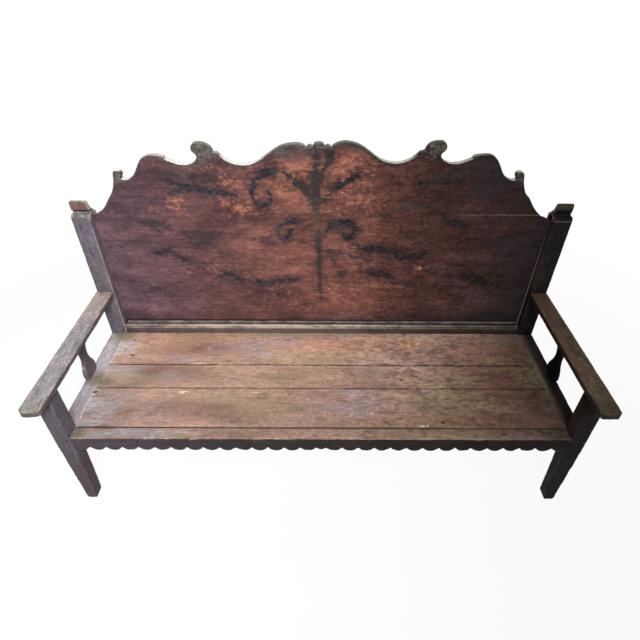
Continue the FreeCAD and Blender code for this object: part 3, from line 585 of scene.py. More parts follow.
def frame_wood(name, grain_axis, worn_top=None, base=FRAME_PAINT, shade=1):
    # Old dark paint; a top face is worn like the seat unless it has colours of its own
    s = Shader(name)
    grain = s.streaks(grain_axis, 0.007, 0.12, 1)
    broad = s.mottle((7, 7, 7), 1)
    blotch = s.mottle(along_grain(grain_axis, 34, 13), 4)
    speck = s.mottle((130, 130, 130), 8)
    across = s.sum(s.x, s.centred(broad, 0.8))
    paint = s.mix(s.ramp(across, -0.95, -0.25), base[0], base[1])
    paint = s.cover(paint, base[2], across, 0, 0.7)
    # Colours kept for the left end, lighter than those for the right, partly as painted light
    left = s.ramp(s.x, 0.2, -0.7)
    brown = s.mix(left, (0.07, 0.046, 0.034), (0.15, 0.1, 0.08))
    paint = s.cover(paint, brown, blotch, 0.52, 0.66, 0.5)
    drab = s.mix(left, (0.04, 0.038, 0.03), (0.165, 0.155, 0.165))
    paint = s.cover(paint, drab, broad, 0.52, 0.68, 0.6)
    paint = s.cover(paint, (0.03, 0.022, 0.024), blotch, 0.44, 0.32, 0.5)
    tone = s.times(s.swing(speck, 0.74, 1.26), s.swing(grain, 0.84, 1.15))
    paint = s.tint(paint, s.times(tone, shade))
    height = s.weighted((grain, 0.4), (blotch, 0.4), (speck, 0.2))
    if worn_top is None:
        worn, _ = worn_seat(s, grain_axis)
        worn = s.tint(worn, (0.86, 0.88, 0.9))
    else:
        worn = s.mix(s.ramp(blotch, 0.4, 0.6), *worn_top)
        worn = s.tint(worn, tone)
    if worn_top is POST_TOP:
        low = s.ramp(s.z, 0.36, 0.2, 0, 0.6)
        paint = s.mix(low, paint, s.mix(left, (0.02, 0.017, 0.017), (0.092, 0.062, 0.052)))
        # Painted shade: the lower faces turned to the right, on the left leg, darker
        inner = s.times(s.ramp(s.facing("X"), 0.3, 0.8, 0, 0.4), s.times(low, left))
        paint = s.mix(inner, paint, (0.026, 0.022, 0.026))
        dusty = s.times(s.ramp(s.facing("X"), -0.3, -0.8), s.ramp(s.z, 0.6, 0.46, 0.2, 0.8),
                        s.ramp(s.y, -0.2, -0.22), s.ramp(s.x, 0.5, 0.6), s.ramp(s.z, 0.39, 0.4))
        paint = s.mix(dusty, paint, (0.082, 0.064, 0.047))
        # Painted light: the posts lighter above the arms, more so on the right, and the right post's faces
        # turned inwards much lighter
        high = s.ramp(s.z, 0.62, 0.74)
        painted_upper_light = s.sum(s.times(high, s.ramp(s.x, -0.2, 0.2, 0.22, 0.4)), 1)
        paint = s.tint(paint, painted_upper_light)
        inwards = s.ramp(s.times(s.facing("X"), s.x), -0.4, -0.75)
        lit = s.times(inwards, s.times(high, s.ramp(s.x, -0.2, 0.2)))
        paint = s.tint(paint, s.sum(s.times(lit, 1.4), 1))
        cap = s.mix(s.ramp(blotch, 0.42, 0.6), (0.13, 0.074, 0.064), (0.245, 0.145, 0.122))
        # On the right cap, painted shadow on its lower front and a painted highlight on the roll above
        painted_roll_light = s.ramp(s.z, cap_foot + 0.01, cap_foot + 0.024)
        cap = s.mix(left, s.mix(painted_roll_light, (0.013, 0.011, 0.01), (0.105, 0.092, 0.064)), cap)
        paint = s.cover(paint, cap, s.z, cap_foot - 0.003, cap_foot + 0.003)
        # Inner sides of the caps and ledges pale grey-green, partly as painted light
        pale_and_lit_inner_side = s.times(inwards, s.ramp(s.z, cap_foot - 0.034, cap_foot - 0.02, 0, 0.8))
        paint = s.mix(pale_and_lit_inner_side, paint, s.mix(left, (0.16, 0.145, 0.11), (0.36, 0.32, 0.28)))
        # Painted shadow: upward faces on the right below the caps, chiefly the ledge and notch under the
        # right cap, darkened
        notch_shadow = s.tint(worn, (0.12, 0.11, 0.1))
        worn_cap = s.tint(worn, (0.36, 0.34, 0.28))
        worn = s.mix(left, s.mix(s.ramp(s.z, cap_foot, cap_foot + 0.01), notch_shadow, worn_cap), worn)
    if worn_top is TAN_CHAMFER:
        # Painted shade: the rail's top darker at its left end beside the post, and towards its right end
        painted_end_shade = s.times(s.ramp(s.x, -0.9, -0.4, 0.45, 1), s.ramp(s.x, 0, 0.6, 1, 0.26))
        worn = s.tint(worn, painted_end_shade)
    up = s.ramp(s.sum(s.facing("Z"), s.centred(blotch, 1.2)), 0.35, 0.75)
    colour = s.mix(up, paint, worn)
    lined = s.times(s.attribute("pale_line"), s.ramp(blotch, 0.36, 0.52, 0.4, 1))
    colour = s.mix(lined, colour, (0.45, 0.39, 0.34))
    # Painted shadow, with dirt, in the crease under the bead, and painted shadow in the notches under the
    # caps
    colour = s.mix(s.times(s.attribute("shadow_line"), 0.9), colour, (0.03, 0.022, 0.02))
    bare = s.ramp(s.sum(blotch, s.times(speck, 0.5)), 0.78, 0.92, 0, 0.8)
    chipped = s.times(s.attribute("arris"), bare)
    colour = s.mix(chipped, colour, s.mix(left, (0.12, 0.09, 0.065), (0.33, 0.275, 0.215)))
    return s.finish(colour, s.swing(blotch, 0.48, 0.72), height, 0.0012, 0.06)


def arm_wood(name):
    s = Shader(name)
    grain = s.streaks(Y, 0.006, 0.09, 7)
    broad = s.mottle((14, 6, 14), 2)
    blotch = s.mottle((46, 20, 46), 5)
    speck = s.mottle((150, 110, 150), 6)
    patch = s.weighted((broad, 0.5), (blotch, 0.5))
    # Pale colours for the left arm, dark brown for the right; the right arm's darkness is partly painted
    # shade
    left = s.ramp(s.x, 0.3, -0.3)
    front = s.ramp(s.y, -0.26, -0.35)
    pale = s.mix(s.ramp(patch, 0.42, 0.58), (0.176, 0.158, 0.167), (0.268, 0.246, 0.259))
    pale = s.cover(pale, (0.34, 0.25, 0.19), blotch, 0.54, 0.68, 0.5)
    pale = s.cover(pale, (0.33, 0.235, 0.17), broad, 0.54, 0.66, 0.8)
    rear = s.ramp(s.y, 0, 0.25)
    pale = s.mix(s.times(rear, s.ramp(patch, 0.4, 0.56, 0.2, 0.8)), pale, (0.34, 0.255, 0.2))
    pale = s.mix(s.times(front, 0.7), pale, (0.165, 0.158, 0.13))
    pale = s.cover(pale, (0.095, 0.08, 0.08), patch, 0.45, 0.34, 0.85)
    brown = s.mix(s.ramp(patch, 0.42, 0.58), (0.11, 0.078, 0.05), (0.19, 0.135, 0.088))
    brown = s.cover(brown, (0.185, 0.092, 0.06), broad, 0.5, 0.64, 0.8)
    brown = s.cover(brown, (0.185, 0.165, 0.105), blotch, 0.54, 0.66, 0.6)
    brown = s.cover(brown, (0.046, 0.038, 0.03), patch, 0.46, 0.36, 0.85)
    brown = s.mix(s.times(rear, 0.5), brown, (0.19, 0.098, 0.066))
    brown = s.mix(s.times(front, 0.5), brown, (0.08, 0.068, 0.044))
    colour = s.mix(left, brown, pale)
    tone = s.times(s.swing(speck, 0.62, 1.34), s.swing(grain, 0.8, 1.18))
    colour = s.tint(colour, tone)
    shaded = s.ramp(s.facing("Z"), 0.7, 0.15, 0, 0.85)
    colour = s.mix(shaded, colour, s.mix(left, (0.03, 0.025, 0.022), (0.085, 0.07, 0.066)))
    rubbed = s.times(s.attribute("arris"), s.ramp(blotch, 0.46, 0.62, 0, 0.8))
    colour = s.mix(rubbed, colour, s.mix(left, (0.2, 0.13, 0.08), (0.43, 0.35, 0.26)))
    height = s.weighted((grain, 0.4), (blotch, 0.4), (speck, 0.2))
    return s.finish(colour, s.swing(broad, 0.48, 0.68), height, 0.0022, 0.1)


def seat_wood(name):
    s = Shader(name)
    wood, height = worn_seat(s)
    blotch = s.mottle((20, 30, 30), 11)
    front = s.ramp(s.y, tight_seam - 0.05, tight_seam - 0.1)
    open_seam = s.larger(s.ramp(blotch, 0.36, 0.54, 0.35, 1), front)
    seam = s.times(s.ramp(s.attribute("arris"), 0.25, 0.62), open_seam)
    wood = s.mix(seam, wood, (0.03, 0.021, 0.019))
    return s.finish(wood, s.swing(blotch, 0.48, 0.68), height, 0.0014, 0.12)


def panel_wood(name):
    s = Shader(name)
    broad = s.noise(s.stretched((3, 8, 8)), 1, 6, 0.6)
    grain = s.streaks(X, 0.013, 0.3, 3)
    fine = s.streaks(X, 0.0045, 0.07, 6)
    ragged = s.noise(s.stretched((15, 44, 32), (2, 5, 1)), 1, 6, 0.7)
    flecks = s.noise(s.stretched((64, 120, 100), (6, 1, 3)), 1, 4, 0.7)
    broken = s.sum(s.weighted((ragged, 0.9), (flecks, 0.7)), -0.3)
    # Base paint: purple at the left end, red in the middle, and darker towards the right end, partly as
    # painted shade
    along = s.sum(s.x, s.centred(broad, 0.9))
    paint = s.mix(s.ramp(along, -0.95, -0.3), (0.106, 0.062, 0.076), (0.108, 0.051, 0.05))
    paint = s.cover(paint, (0.168, 0.07, 0.056), along, -0.4, -0.05)
    paint = s.cover(paint, (0.068, 0.029, 0.025), along, 0.05, 0.4)
    paint = s.cover(paint, (0.048, 0.027, 0.027), along, 0.4, 0.9)
    tone = s.times(s.ramp(broad, 0.34, 0.66, 0.72, 1.28), s.swing(ragged, 0.88, 1.12),
                   s.ramp(grain, 0.32, 0.68, 0.88, 1.1), s.swing(fine, 0.9, 1.08),
                   s.swing(flecks, 0.86, 1.14), s.ramp(s.z, 0.75, 0.52, 1, 1.18))
    paint = s.tint(paint, tone)
    # Dark smudges, heavier to the right, where they are partly painted shade
    smear = s.mottle((4, 12, 12), 5)
    paint = s.mix(s.times(s.ramp(smear, 0.47, 0.36), s.ramp(s.x, -0.2, 0.5, 0.25, 0.85)), paint,
                  (0.042, 0.032, 0.034))
    worn = s.layer("bright", 0.2, broken)
    paint = s.cover(paint, (0.33, 0.13, 0.08), worn, 0.52, 0.8, 0.9)
    paint = s.cover(paint, (0.5, 0.24, 0.15), worn, 0.72, 0.92, 0.45)
    rubbed_dark = s.ramp(s.weighted((ragged, 0.8), (grain, 0.2)), 0.42, 0.3, 0, 0.75)
    paint = s.mix(rubbed_dark, paint, (0.05, 0.036, 0.04))
    ragged_edge = s.centred(broken, 0.036)
    left = s.ramp(s.x, 0.25, -0.15)
    dark = s.mix(s.ramp(flecks, 0.4, 0.64), s.mix(left, (0.018, 0.014, 0.015), (0.021, 0.02, 0.027)),
                 s.mix(left, (0.034, 0.026, 0.027), (0.046, 0.039, 0.045)))
    off_stem = s.size(s.sum(s.x, 0.02))
    dark = s.cover(dark, (0.055, 0.036, 0.034), off_stem, 0.09, 0.04, 0.45)
    wear = s.ramp(broken, 0.57, 0.84, 1, 0.42)
    stroke = s.ramp(s.sum(s.attribute("dark_strokes"), ragged_edge), 0.013, -0.008)
    halo = s.ramp(s.sum(s.attribute("dark_strokes"), ragged_edge), 0.034, 0, 0, 0.42)
    paint = s.mix(s.larger(s.times(stroke, wear), halo), paint, dark)
    scuffed = s.times(s.sum(ragged, s.times(smear, 0.8), -0.9), 0.16)
    faint = s.ramp(s.sum(s.attribute("faint_strokes"), scuffed), 0.014, -0.012, 0, 0.8)
    paint = s.mix(s.times(faint, wear), paint, (0.042, 0.032, 0.037))
    pale_stem = s.ramp(s.sum(s.attribute("pale_stem"), ragged_edge), 0.01, -0.012, 0, 0.55)
    paint = s.mix(pale_stem, paint, (0.08, 0.054, 0.047))
    dark_soot_and_shade = s.mix(left, (0.03, 0.025, 0.026), (0.078, 0.07, 0.076))
    dark_soot_and_shade = s.tint(dark_soot_and_shade, s.swing(flecks, 0.72, 1.28))
    # Soot, and painted shade towards the right end of the back
    paint = s.cover(paint, dark_soot_and_shade, s.layer("soot_and_shade", 0.3, broken), 0.45, 0.76, 0.85)
    rim = s.sum(s.attribute("rim"), s.centred(broad, 1.4))
    paint = s.cover(paint, dark_soot_and_shade, rim, 0.3, 0.8, 0.9)
    # Painted shadow along the foot of the panel, above the bead
    foot_shade = s.ramp(s.z, bead_top + 0.011, bead_top + 0.001, 0, 0.9)
    paint = s.mix(foot_shade, paint, (0.036, 0.022, 0.024))
    grey = s.layer("grey", 0.4, broken)
    drab = s.mix(s.ramp(flecks, 0.38, 0.64), (0.05, 0.048, 0.042), (0.125, 0.12, 0.102))
    paint = s.cover(paint, drab, grey, 0.5, 0.7, 0.85)
    edge = s.times(s.attribute("rim"), s.ramp(s.attribute("grey"), 0, 0.4))
    paint = s.cover(paint, (0.036, 0.034, 0.03), edge, 0.7, 0.95, 0.7)
    line = s.size(s.sum(s.z, -crest_seam))
    crack = s.times(s.ramp(line, 0.0018, 0.0006), s.ramp(s.x, 0.44, 0.74))
    paint = s.mix(s.times(crack, 0.7), paint, (0.42, 0.33, 0.25))
    grit = s.sum(s.swing(flecks, -0.28, 0.28), s.swing(ragged, -0.26, 0.26))
    grit = s.times(grit, s.ramp(s.x, -0.2, 0.3, 0.4, 1))
    paint = s.tint(paint, s.sum(grit, 1))
    # Painted shade, blue-grey, over the lowest part of the panel near the seat
    shade = s.mix(s.ramp(s.x, -0.3, 0.2), (0.56, 0.56, 0.56), (0.54, 0.66, 0.78))
    foot_shade = s.ramp(s.z, bead_top + 0.08, bead_top + 0.01)
    paint = s.mix(foot_shade, paint, s.tint(paint, shade))
    # A pale line on the panel beside the right post: a worn arris with a painted highlight
    corner = s.times(s.ramp(s.x, post_inner - 0.005, post_inner - 0.002),
                     s.ramp(s.z, 0.96, 0.7, 0.15, 0.7))
    paint = s.mix(corner, paint, (0.26, 0.23, 0.21))
    # The sawn top of the crest pale: worn wood and dust, with painted light that is strongest in the
    # valleys
    above = s.ramp(s.z, crest_seam + 0.002, crest_seam + 0.012)
    top = s.times(s.ramp(s.facing("Z"), 0.45, 0.85), above)
    valley = s.ramp(s.sum(s.z, s.centred(ragged, 0.1)), 1.222, 1.186)
    hump = s.mix(left, (0.085, 0.08, 0.064), (0.23, 0.215, 0.19))
    pale = s.mix(valley, hump, s.mix(left, (0.6, 0.55, 0.47), (0.82, 0.76, 0.68)))
    pale = s.cover(pale, (0.09, 0.08, 0.066), broken, 0.46, 0.3)
    paint = s.mix(s.times(top, 0.95), paint, pale)
    rubbed = s.times(s.attribute("arris"), s.ramp(broken, 0.56, 0.72, 0, 0.4))
    paint = s.mix(rubbed, paint, (0.19, 0.155, 0.12))
    height = s.weighted((grain, 0.5), (fine, 0.25), (flecks, 0.25))
    return s.finish(paint, s.swing(broken, 0.42, 0.66), height, 0.0008, 0.1)


def bare_wood(name):
    s = Shader(name)
    grain = s.streaks(Y, 0.006, 0.12, 8)
    cloud = s.noise(s.where, 12, 4)
    wood = s.mix(s.ramp(grain, 0.3, 0.7), (0.19, 0.125, 0.08), (0.33, 0.235, 0.155))
    wood = s.cover(wood, (0.15, 0.105, 0.07), cloud, 0.5, 0.75)
    return s.finish(wood, s.swing(cloud, 0.6, 0.8), grain, 0.0007)


def peg_wood(name):
    s = Shader(name)
    cloud = s.mottle((160, 160, 160), 2)
    wood = s.mix(s.ramp(cloud, 0.4, 0.6), (0.034, 0.027, 0.026), (0.085, 0.066, 0.058))
    return s.finish(wood, s.swing(cloud, 0.55, 0.8), cloud, 0.0004, 0.06)


def nail_iron(name):
    s = Shader(name)
    cloud = s.noise(s.where, 300, 4)
    iron = s.mix(s.ramp(cloud, 0.4, 0.65), (0.075, 0.052, 0.043), (0.19, 0.125, 0.092))
    return s.finish(iron, s.swing(cloud, 0.55, 0.8), cloud, 0.0003, 0.5)


materials = {
    "frame_x": frame_wood("frame_wood_x", X, shade=0.65),
    "frame_y": frame_wood("frame_wood_y", Y),
    "frame_z": frame_wood("frame_wood_z", Z, POST_TOP),
    "back_rail": frame_wood("frame_wood_rail", X, TAN_CHAMFER, RAIL_PAINT),
    "bead": frame_wood("frame_wood_bead", X, GREY_BEAD),
}
for make in (arm_wood, seat_wood, panel_wood, bare_wood, peg_wood, nail_iron):
    materials[make.__name__] = make(make.__name__)


# Pieces that keep their outline, with worn faces:
# node, its ends, material, size of a mesh square, rounding steps, grain axis, relief, chip depth
SINGLE = ("",)
PAIR = ("_left", "_right")
WORN_PIECES = (
    ("front_leg_left", SINGLE, "frame_z", 0.0025, 6, Z, 0.001, 0.003),
    ("front_leg_right", SINGLE, "frame_z", 0.0025, 6, Z, 0.0008, 0.0015),
    ("rear_post", PAIR, "frame_z", 0.0028, 2, Z, 0.0006, 0.0018),
    ("armrest_left", SINGLE, "arm_wood", 0.0022, 4, Y, 0.0026, 0.005),
    ("armrest_right", SINGLE, "arm_wood", 0.0022, 4, Y, 0.001, 0.0022),
    ("arm_baluster", PAIR, "frame_z", 0.002, 3, Z, 0.0004, 0.0012),
    ("side_seat_rail", PAIR, "frame_y", 0.0025, 2, Y, 0.0006, 0.0018),
    ("front_seat_rail", SINGLE, "frame_x", 0.0028, 2, X, 0.0006, 0.003),
    ("rear_seat_rail", SINGLE, "frame_x", 0.0035, 2, X, 0.0005, 0.0015),
    ("back_bottom_rail", SINGLE, "back_rail", 0.003, 2, X, 0.0005, 0.0018),
    ("panel_bead_moulding", SINGLE, "bead", 0.002, 2, X, 0.0003, 0.001),
    ("seat_ledger", PAIR, "bare_wood", 0.0035, 2, Y, 0.0005, 0.0012),
    ("seat_bearer", ("_left", "_centre", "_right"), "bare_wood", 0.0035, 2, Y, 0.0005, 0.0012),
    ("tenon_pegs", SINGLE, "peg_wood", 0.001, 2, Y, 0.0002, 0.0004),
    ("seat_nails", SINGLE, "nail_iron", 0.0007, 2, Z, 0.0001, 0.0002),
)
# Radius worn on the edges of the feet and on the front corners of the arms
FOOT_ROUNDS = {"front_leg_left": 0.024, "front_leg_right": 0.018}
ARM_ROUNDS = {"armrest_left": 0.022, "armrest_right": 0.016}
CAP_ROUND_STEPS = {"rear_post_left": 10, "rear_post_right": 26}
CAP_ROUND_FADE = 0.004  # height over which the rounding of a cap sets in
CAP_ROUND_SHARE = 0.5  # how far one step draws a point to its neighbours

# Pale worn lines along edges, and dark lines of painted shadow in the crease under the bead and the notches
# under the caps
RAIL_CHAMFER = 0.013  # as wide on the bottom rail's top as on its front
CHAMFER_LINE = (0.006, 0.004)  # before and below the foot of the bead
PALE_LINE_FADING = ((-0.88, 0.35), (-0.5, 0.85), (0.05, 1.0), (0.3, 0.7), (0.55, 0.4), (0.88, 0.3))
PALE_WIDTH = 0.0024
ARRIS_WIDTH = 0.0022
LOWER_LINE = 0.6  # strength of the chamfer's lower line, of the left post's and of the right ledge's
POST_LINE = 0.65
LEDGE_LINE = 0.5
SHADOW_LINE_WIDTHS = {"back_rail": 0.0026, "bead": 0.0028}
CAP_LEDGE = 0.026  # how far the ledge under the right cap lies below it
NOTCH_DROP = 0.004  # the same of the dark notch
NOTCH_WIDTH = 0.005
NOTCH_SETBACK = 0.006

# Planks of the seat
SEAT_SQUARE = 0.0045  # size of a mesh square
SEAT_ARRIS = 0.0011  # radius of the arrises
SEAT_ARRIS_FADE = 0.0026
SEAT_WEAR = (0.0007, 0.0016)  # relief and chip depth
SEAM_REACH = 0.008
TIGHT_SEAM_SHARE = 0.85  # how open the tight seam and the ends are, beside the other seams
END_SHARE = 0.3
POST_GAP = 0.0005

# Back panel and crest board
PANEL_SQUARE = 0.0055
PANEL_ARRIS = 0.0004
PANEL_ARRIS_FADE = 0.004
PANEL_WEAR = (0.0006, 0.001)
PANEL_EDGE = 0.025  # the sawn upper edge of the panel lies less than this below the seam
PANEL_TOP = 0.03  # its arrises are sharp this near to the seam
PANEL_RIMS = (0.005, 0.014)  # width of the darkening beside the left and the right post
CREST_SQUARE = 0.0032
CREST_WEAR = (0.0006, 0.0016)
CREST_RIM = 0.026  # width of the soot along the sawn edge
CREST_ROUNDING = 2
SAWN_LEAN = 0.8  # a sawn edge has normals with less depth than this
SAWN_FOOT = 0.01  # and begins this far above the seam
PAINT_DEPTH = 0.006  # points further behind the panel's front have no ornament


def round_foot(points, radius):
    # Draws the end of a leg in towards its axis, as if its lower edges were filleted
    low = points[:, 2] < radius
    middle = points[low, :2].mean(axis=0)
    half = np.abs(points[low, :2] - middle).max(axis=0)
    drop = radius - np.clip(points[low, 2], 0, radius)
    inset = radius - np.sqrt(radius ** 2 - drop ** 2)
    points[low, :2] = middle + (points[low, :2] - middle) * (1 - inset[:, None] / half)


def round_front_corners(points, radius):
    # Draws the two front corners of an arm in to an arc, seen from above
    x, y, _ = points.T
    middle, half = (x.min() + x.max()) / 2, (x.max() - x.min()) / 2
    front = y.min() + radius
    across = np.clip((np.abs(x - middle) - half + radius) / radius, 0, 1)
    along = np.clip((front - y) / radius, 0, 1)
    corner = (across > 0) & (along > 0)
    across, along = across[corner], along[corner]
    reach = radius * np.maximum(across, along) / np.hypot(across, along)
    x[corner] = middle + np.sign(x[corner] - middle) * (half - radius + across * reach)
    y[corner] = front - along * reach


def near_line(points, first_axis, first, second_axis, second, width):
    # 1 on a line along the third axis, falling to 0 around it
    off = np.hypot(points[:, first_axis] - first, points[:, second_axis] - second)
    return np.exp(-(off / width) ** 2)


def round_cap(mesh, steps):
    # Rolls the edges of a post's cap, which many hands have worn
    for _ in range(steps):
        points = read_points(mesh)
        share = np.clip((points[:, 2] - cap_foot) / CAP_ROUND_FADE, 0, CAP_ROUND_SHARE)
        points += share[:, None] * (neighbour_mean(mesh, points) - points)
        write_points(mesh, points)


def worn_piece(node, material, voxel, rounding, grain_axis, relief, chip, seed):
    mesh = even_copy(node, voxel, rounding)
    if node in CAP_ROUND_STEPS:
        round_cap(mesh, CAP_ROUND_STEPS[node])
    arris = arris_of_mesh(mesh, voxel)
    weather(mesh, arris, grain_axis, relief, chip, seed)
    points = read_points(mesh)
    if node in FOOT_ROUNDS:
        round_foot(points, FOOT_ROUNDS[node])
    if node in ARM_ROUNDS:
        round_front_corners(points, ARM_ROUNDS[node])
    write_points(mesh, points)
    keep(mesh, "arris", arris)
    if material in ("frame_x", "frame_y"):
        keep_seat_layers(mesh, points)
    if material == "back_rail":
        before, below = CHAMFER_LINE
        upper = near_line(points, Y, bead_front - before, Z, bead_foot - below, PALE_WIDTH)
        lower = near_line(points, Y, post_front, Z, bead_foot - RAIL_CHAMFER, ARRIS_WIDTH)
        keep(mesh, "pale_line", along_x(points, PALE_LINE_FADING) * np.maximum(upper, LOWER_LINE * lower))
    # Painted shadow, with dirt, in the crease under the bead
    if material in SHADOW_LINE_WIDTHS:
        keep(mesh, "shadow_line", near_line(points, Y, bead_front, Z, bead_foot, SHADOW_LINE_WIDTHS[material]))
    if node in CAP_ROUND_STEPS:
        if points[0, 0] < 0:
            pale = POST_LINE * near_line(points, X, -post_inner, Y, post_front, ARRIS_WIDTH)
        else:
            pale = LEDGE_LINE * near_line(points, Y, post_front, Z, cap_foot - CAP_LEDGE, PALE_WIDTH)
        keep(mesh, "pale_line", pale)
        # Painted shadow in the notch under each cap
        notch = np.exp(-((points[:, 2] - cap_foot + NOTCH_DROP) / NOTCH_WIDTH) ** 2)
        keep(mesh, "shadow_line", np.where(points[:, 1] > post_front + NOTCH_SETBACK, notch, 0))
    place(node + "_worn", mesh, materials[material], [node])


def keep_seat_layers(mesh, points):
    for name, places in SEAT_LAYERS.items():
        keep(mesh, name, patches(points[:, 0], points[:, 1], places))


def seat_board(node, seed):
    low, high = (np.array(corner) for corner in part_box(node))
    mesh = rounded_board(low, high, SEAT_SQUARE, SEAT_ARRIS)
    points = read_points(mesh)
    x, y, _ = points.T
    arris = arris_of_box(points, low, high, SEAT_ARRIS_FADE)
    arris[np.abs(y - tight_seam) < SEAM_REACH] *= TIGHT_SEAM_SHARE
    arris[(x < low[0] + SEAM_REACH) | (x > high[0] - SEAM_REACH)] *= END_SHARE
    beside_posts = y > post_front
    reach = post_inner - POST_GAP
    x[beside_posts] = np.clip(x[beside_posts], -reach, reach)
    write_points(mesh, points)
    weather(mesh, arris, X, *SEAT_WEAR, seed)
    keep(mesh, "arris", arris)
    keep_seat_layers(mesh, points)
    place(node + "_worn", mesh, materials["seat_wood"], [node])


def spread(mesh, mask, voxel, width):
    # Carries a mask on over the mesh, falling to 0 at a width from where it is 1
    first, second = edge_ends(mesh)
    for _ in range(round(width / voxel)):
        wider = mask.copy()
        np.maximum.at(wider, first, mask[second] - voxel / width)
        np.maximum.at(wider, second, mask[first] - voxel / width)
        mask = wider
    return mask


def paint_back(mesh, points):
    # Ornament, brush marks, wear, soot and painted shade, on the front face only
    front = points[:, 1] < panel_front + PAINT_DEPTH
    for name, strokes in (("dark_strokes", DARK_STROKES), ("faint_strokes", FAINT_STROKES),
                          ("pale_stem", PALE_STEM_STROKES)):
        keep(mesh, name, np.where(front, stroke_distance(points, strokes), FAR))
    for name, places in (("bright", BRIGHT_PATCHES), ("soot_and_shade", SOOT_AND_SHADE_PATCHES), ("grey", GREY_PATCHES)):
        keep(mesh, name, np.where(front, patches(points[:, 0], points[:, 2], places), OUTSIDE))


def back_panel(node, seed):
    low, high = (np.array(corner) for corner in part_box(node))
    mesh = rounded_board(low, high, PANEL_SQUARE, PANEL_ARRIS)
    points = read_points(mesh)
    x, _, z = points.T
    arris = arris_of_box(points, low, high, PANEL_ARRIS_FADE)
    sawn = read_points(frame["nodes"][node].data)
    sawn = sawn[sawn[:, 2] > crest_seam - PANEL_EDGE]
    sawn = sawn[np.argsort(sawn[:, 0])]
    top = np.interp(x, sawn[:, 0], sawn[:, 2]) - along_x(points, CREST_DROPS)
    z[:] = low[2] + (z - low[2]) * (top - low[2]) / (high[2] - low[2])
    write_points(mesh, points)
    arris[z > crest_seam - PANEL_TOP] = 0
    weather(mesh, arris, X, *PANEL_WEAR, seed)
    keep(mesh, "arris", arris)
    side_gap = np.maximum(post_inner - np.abs(x), 0)
    keep(mesh, "rim", np.exp(-side_gap / np.where(x < 0, *PANEL_RIMS)))
    paint_back(mesh, points)
    place(node + "_painted", mesh, materials["panel_wood"], [node])


def crest_board(node, seed):
    mesh = even_copy(node, CREST_SQUARE, CREST_ROUNDING)
    arris = arris_of_mesh(mesh, CREST_SQUARE)
    points = read_points(mesh)
    lean = np.abs(read(mesh.vertices, "normal", 3)[:, 1])
    outline = (lean < SAWN_LEAN) & (points[:, 2] > crest_seam + SAWN_FOOT)
    low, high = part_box(node)
    middle = (low.y + high.y) / 2
    seam = points[:, 2] < crest_seam + SEAM_LAP
    arris[seam] = 0
    weather(mesh, arris, X, *CREST_WEAR, seed)
    points = read_points(mesh)
    _, y, z = points.T
    z[seam] -= SEAM_LAP
    y[seam] = middle + (y[seam] - middle) * SEAM_TUCK
    share = np.clip((z - crest_seam) / CREST_LIFT_HEIGHT, 0, 1)
    z += share * along_x(points, CREST_LIFTS) - along_x(points, CREST_DROPS)
    write_points(mesh, points)
    keep(mesh, "arris", arris)
    keep(mesh, "rim", spread(mesh, outline.astype(float), CREST_SQUARE, CREST_RIM))
    paint_back(mesh, points)
    place(node + "_painted", mesh, materials["panel_wood"], [node])


seeds = itertools.count(0, 10)
for node, ends, *looks in WORN_PIECES:
    for end in ends:
        worn_piece(node + end, *looks, next(seeds))
for seed, part in enumerate(("front", "middle", "rear")):
    seat_board("seat_board_" + part, 300 + 10 * seed)
back_panel("back_panel", 400)
crest_board("crest_board", 410)
dowels = frame["nodes"]["crest_dowels"]
dowels.data.materials.clear()
dowels.data.materials.append(materials["bare_wood"])


# Stage, light and camera

FLOOR_REACH = 30.0
AMBIENT = ((0.95, 0.97, 1.0, 1), 0.12)  # colour and strength of the light from all around
SENSOR_WIDTH = 36.0  # of the camera, in millimetres
# Lamps: name, place, aim, width in metres, power in watts, colour, spread in degrees
SOFTBOXES = (
    ("key", (0.2, -1.9, 2.5), (-0.75, 0.1, 0.5), 1.2, 30.0, (1.0, 0.98, 0.96), 75.0),
    ("window", (-2.6, 1.6, 2.3), (-0.8, 0.0, 0.4), 1.4, 12.0, (0.82, 0.9, 1.0), 80.0),
    ("back_fill", (0.8, 3.4, 2.0), (0.0, 0.4, 0.6), 2.5, 45.0, (1.0, 0.98, 0.95), 180.0),
)


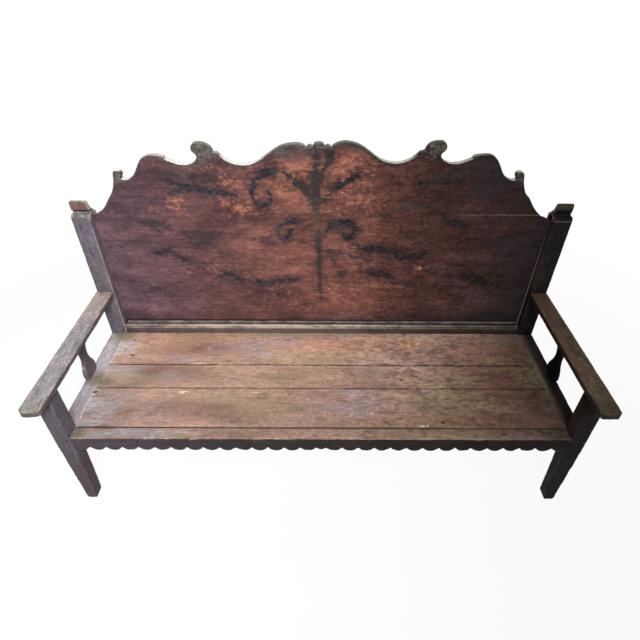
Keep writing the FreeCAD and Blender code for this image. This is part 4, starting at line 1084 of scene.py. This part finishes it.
def add_floor():
    mesh = bpy.data.meshes.new("floor")
    corners = [(FLOOR_REACH * x, FLOOR_REACH * y, 0) for x, y in ((-1, -1), (1, -1), (1, 1), (-1, 1))]
    mesh.from_pydata(corners, [], [(0, 1, 2, 3)])
    floor = add_object("floor", mesh)
    s = Shader("floor")
    seen = s.larger(s.ray("Is Camera Ray"), s.ray("Is Glossy Ray"), s.ray("Is Transmission Ray"))
    distance = s.add("VectorMath", {0: s.where}, "Value", operation="LENGTH")
    white = s.times(seen, s.ramp(distance, 1.0, 3.0, 0.93, 1.0))
    matte = s.add("BsdfDiffuse", {"Color": s.mix(seen, (0.2, 0.2, 0.2), (0.85, 0.85, 0.85))})
    glow = s.add("Emission", {"Color": (1, 1, 1, 1), "Strength": 1.0})
    surface = s.add("MixShader", {0: white, 1: matte, 2: glow})
    s.add("OutputMaterial", {"Surface": surface})
    mesh.materials.append(s.owner)


def add_world():
    s = Shader("studio", bpy.data.worlds)
    bpy.context.scene.world = s.owner
    seen = s.larger(s.ray("Is Camera Ray"), s.ray("Is Transmission Ray"))
    colour, strength = AMBIENT
    ambient = s.add("Background", {"Color": colour, "Strength": strength})
    white = s.add("Background", {"Color": (1, 1, 1, 1)})
    mixed = s.add("MixShader", {0: seen, 1: ambient, 2: white})
    s.add("OutputWorld", {"Surface": mixed})


def add_softbox(name, place_at, aim, width, power, colour, spread_angle):
    data = bpy.data.lights.new(name, "AREA")
    data.shape = "SQUARE"
    data.size = width
    data.energy = power
    data.color = colour
    data.spread = math.radians(spread_angle)
    light = add_object(name, data)
    light.location = place_at
    light.rotation_euler = (Vector(aim) - Vector(place_at)).to_track_quat("-Z", "Y").to_euler()
    light.visible_camera = False


def add_camera():
    pitch, yaw, roll = (math.radians(value) for value in (CAMERA_PITCH, CAMERA_YAW, CAMERA_ROLL))
    forward = Vector((math.sin(yaw) * math.cos(pitch), math.cos(yaw) * math.cos(pitch), -math.sin(pitch)))
    level = Vector((math.cos(yaw), -math.sin(yaw), 0))
    top = level.cross(forward)
    right = level * math.cos(roll) + top * math.sin(roll)
    up = top * math.cos(roll) - level * math.sin(roll)
    data = bpy.data.cameras.new("camera")
    data.lens = CAMERA_LENS
    data.sensor_width = SENSOR_WIDTH
    data.shift_x, data.shift_y = CAMERA_SHIFT
    camera = add_object("camera", data)
    turn = Matrix((right, up, -forward)).transposed().to_4x4()
    camera.matrix_world = Matrix.Translation(CAMERA_PLACE) @ turn
    bpy.context.scene.camera = camera


add_floor()
add_world()
for softbox in SOFTBOXES:
    add_softbox(*softbox)
add_camera()
bpy.context.scene.view_settings.view_transform = "Standard"
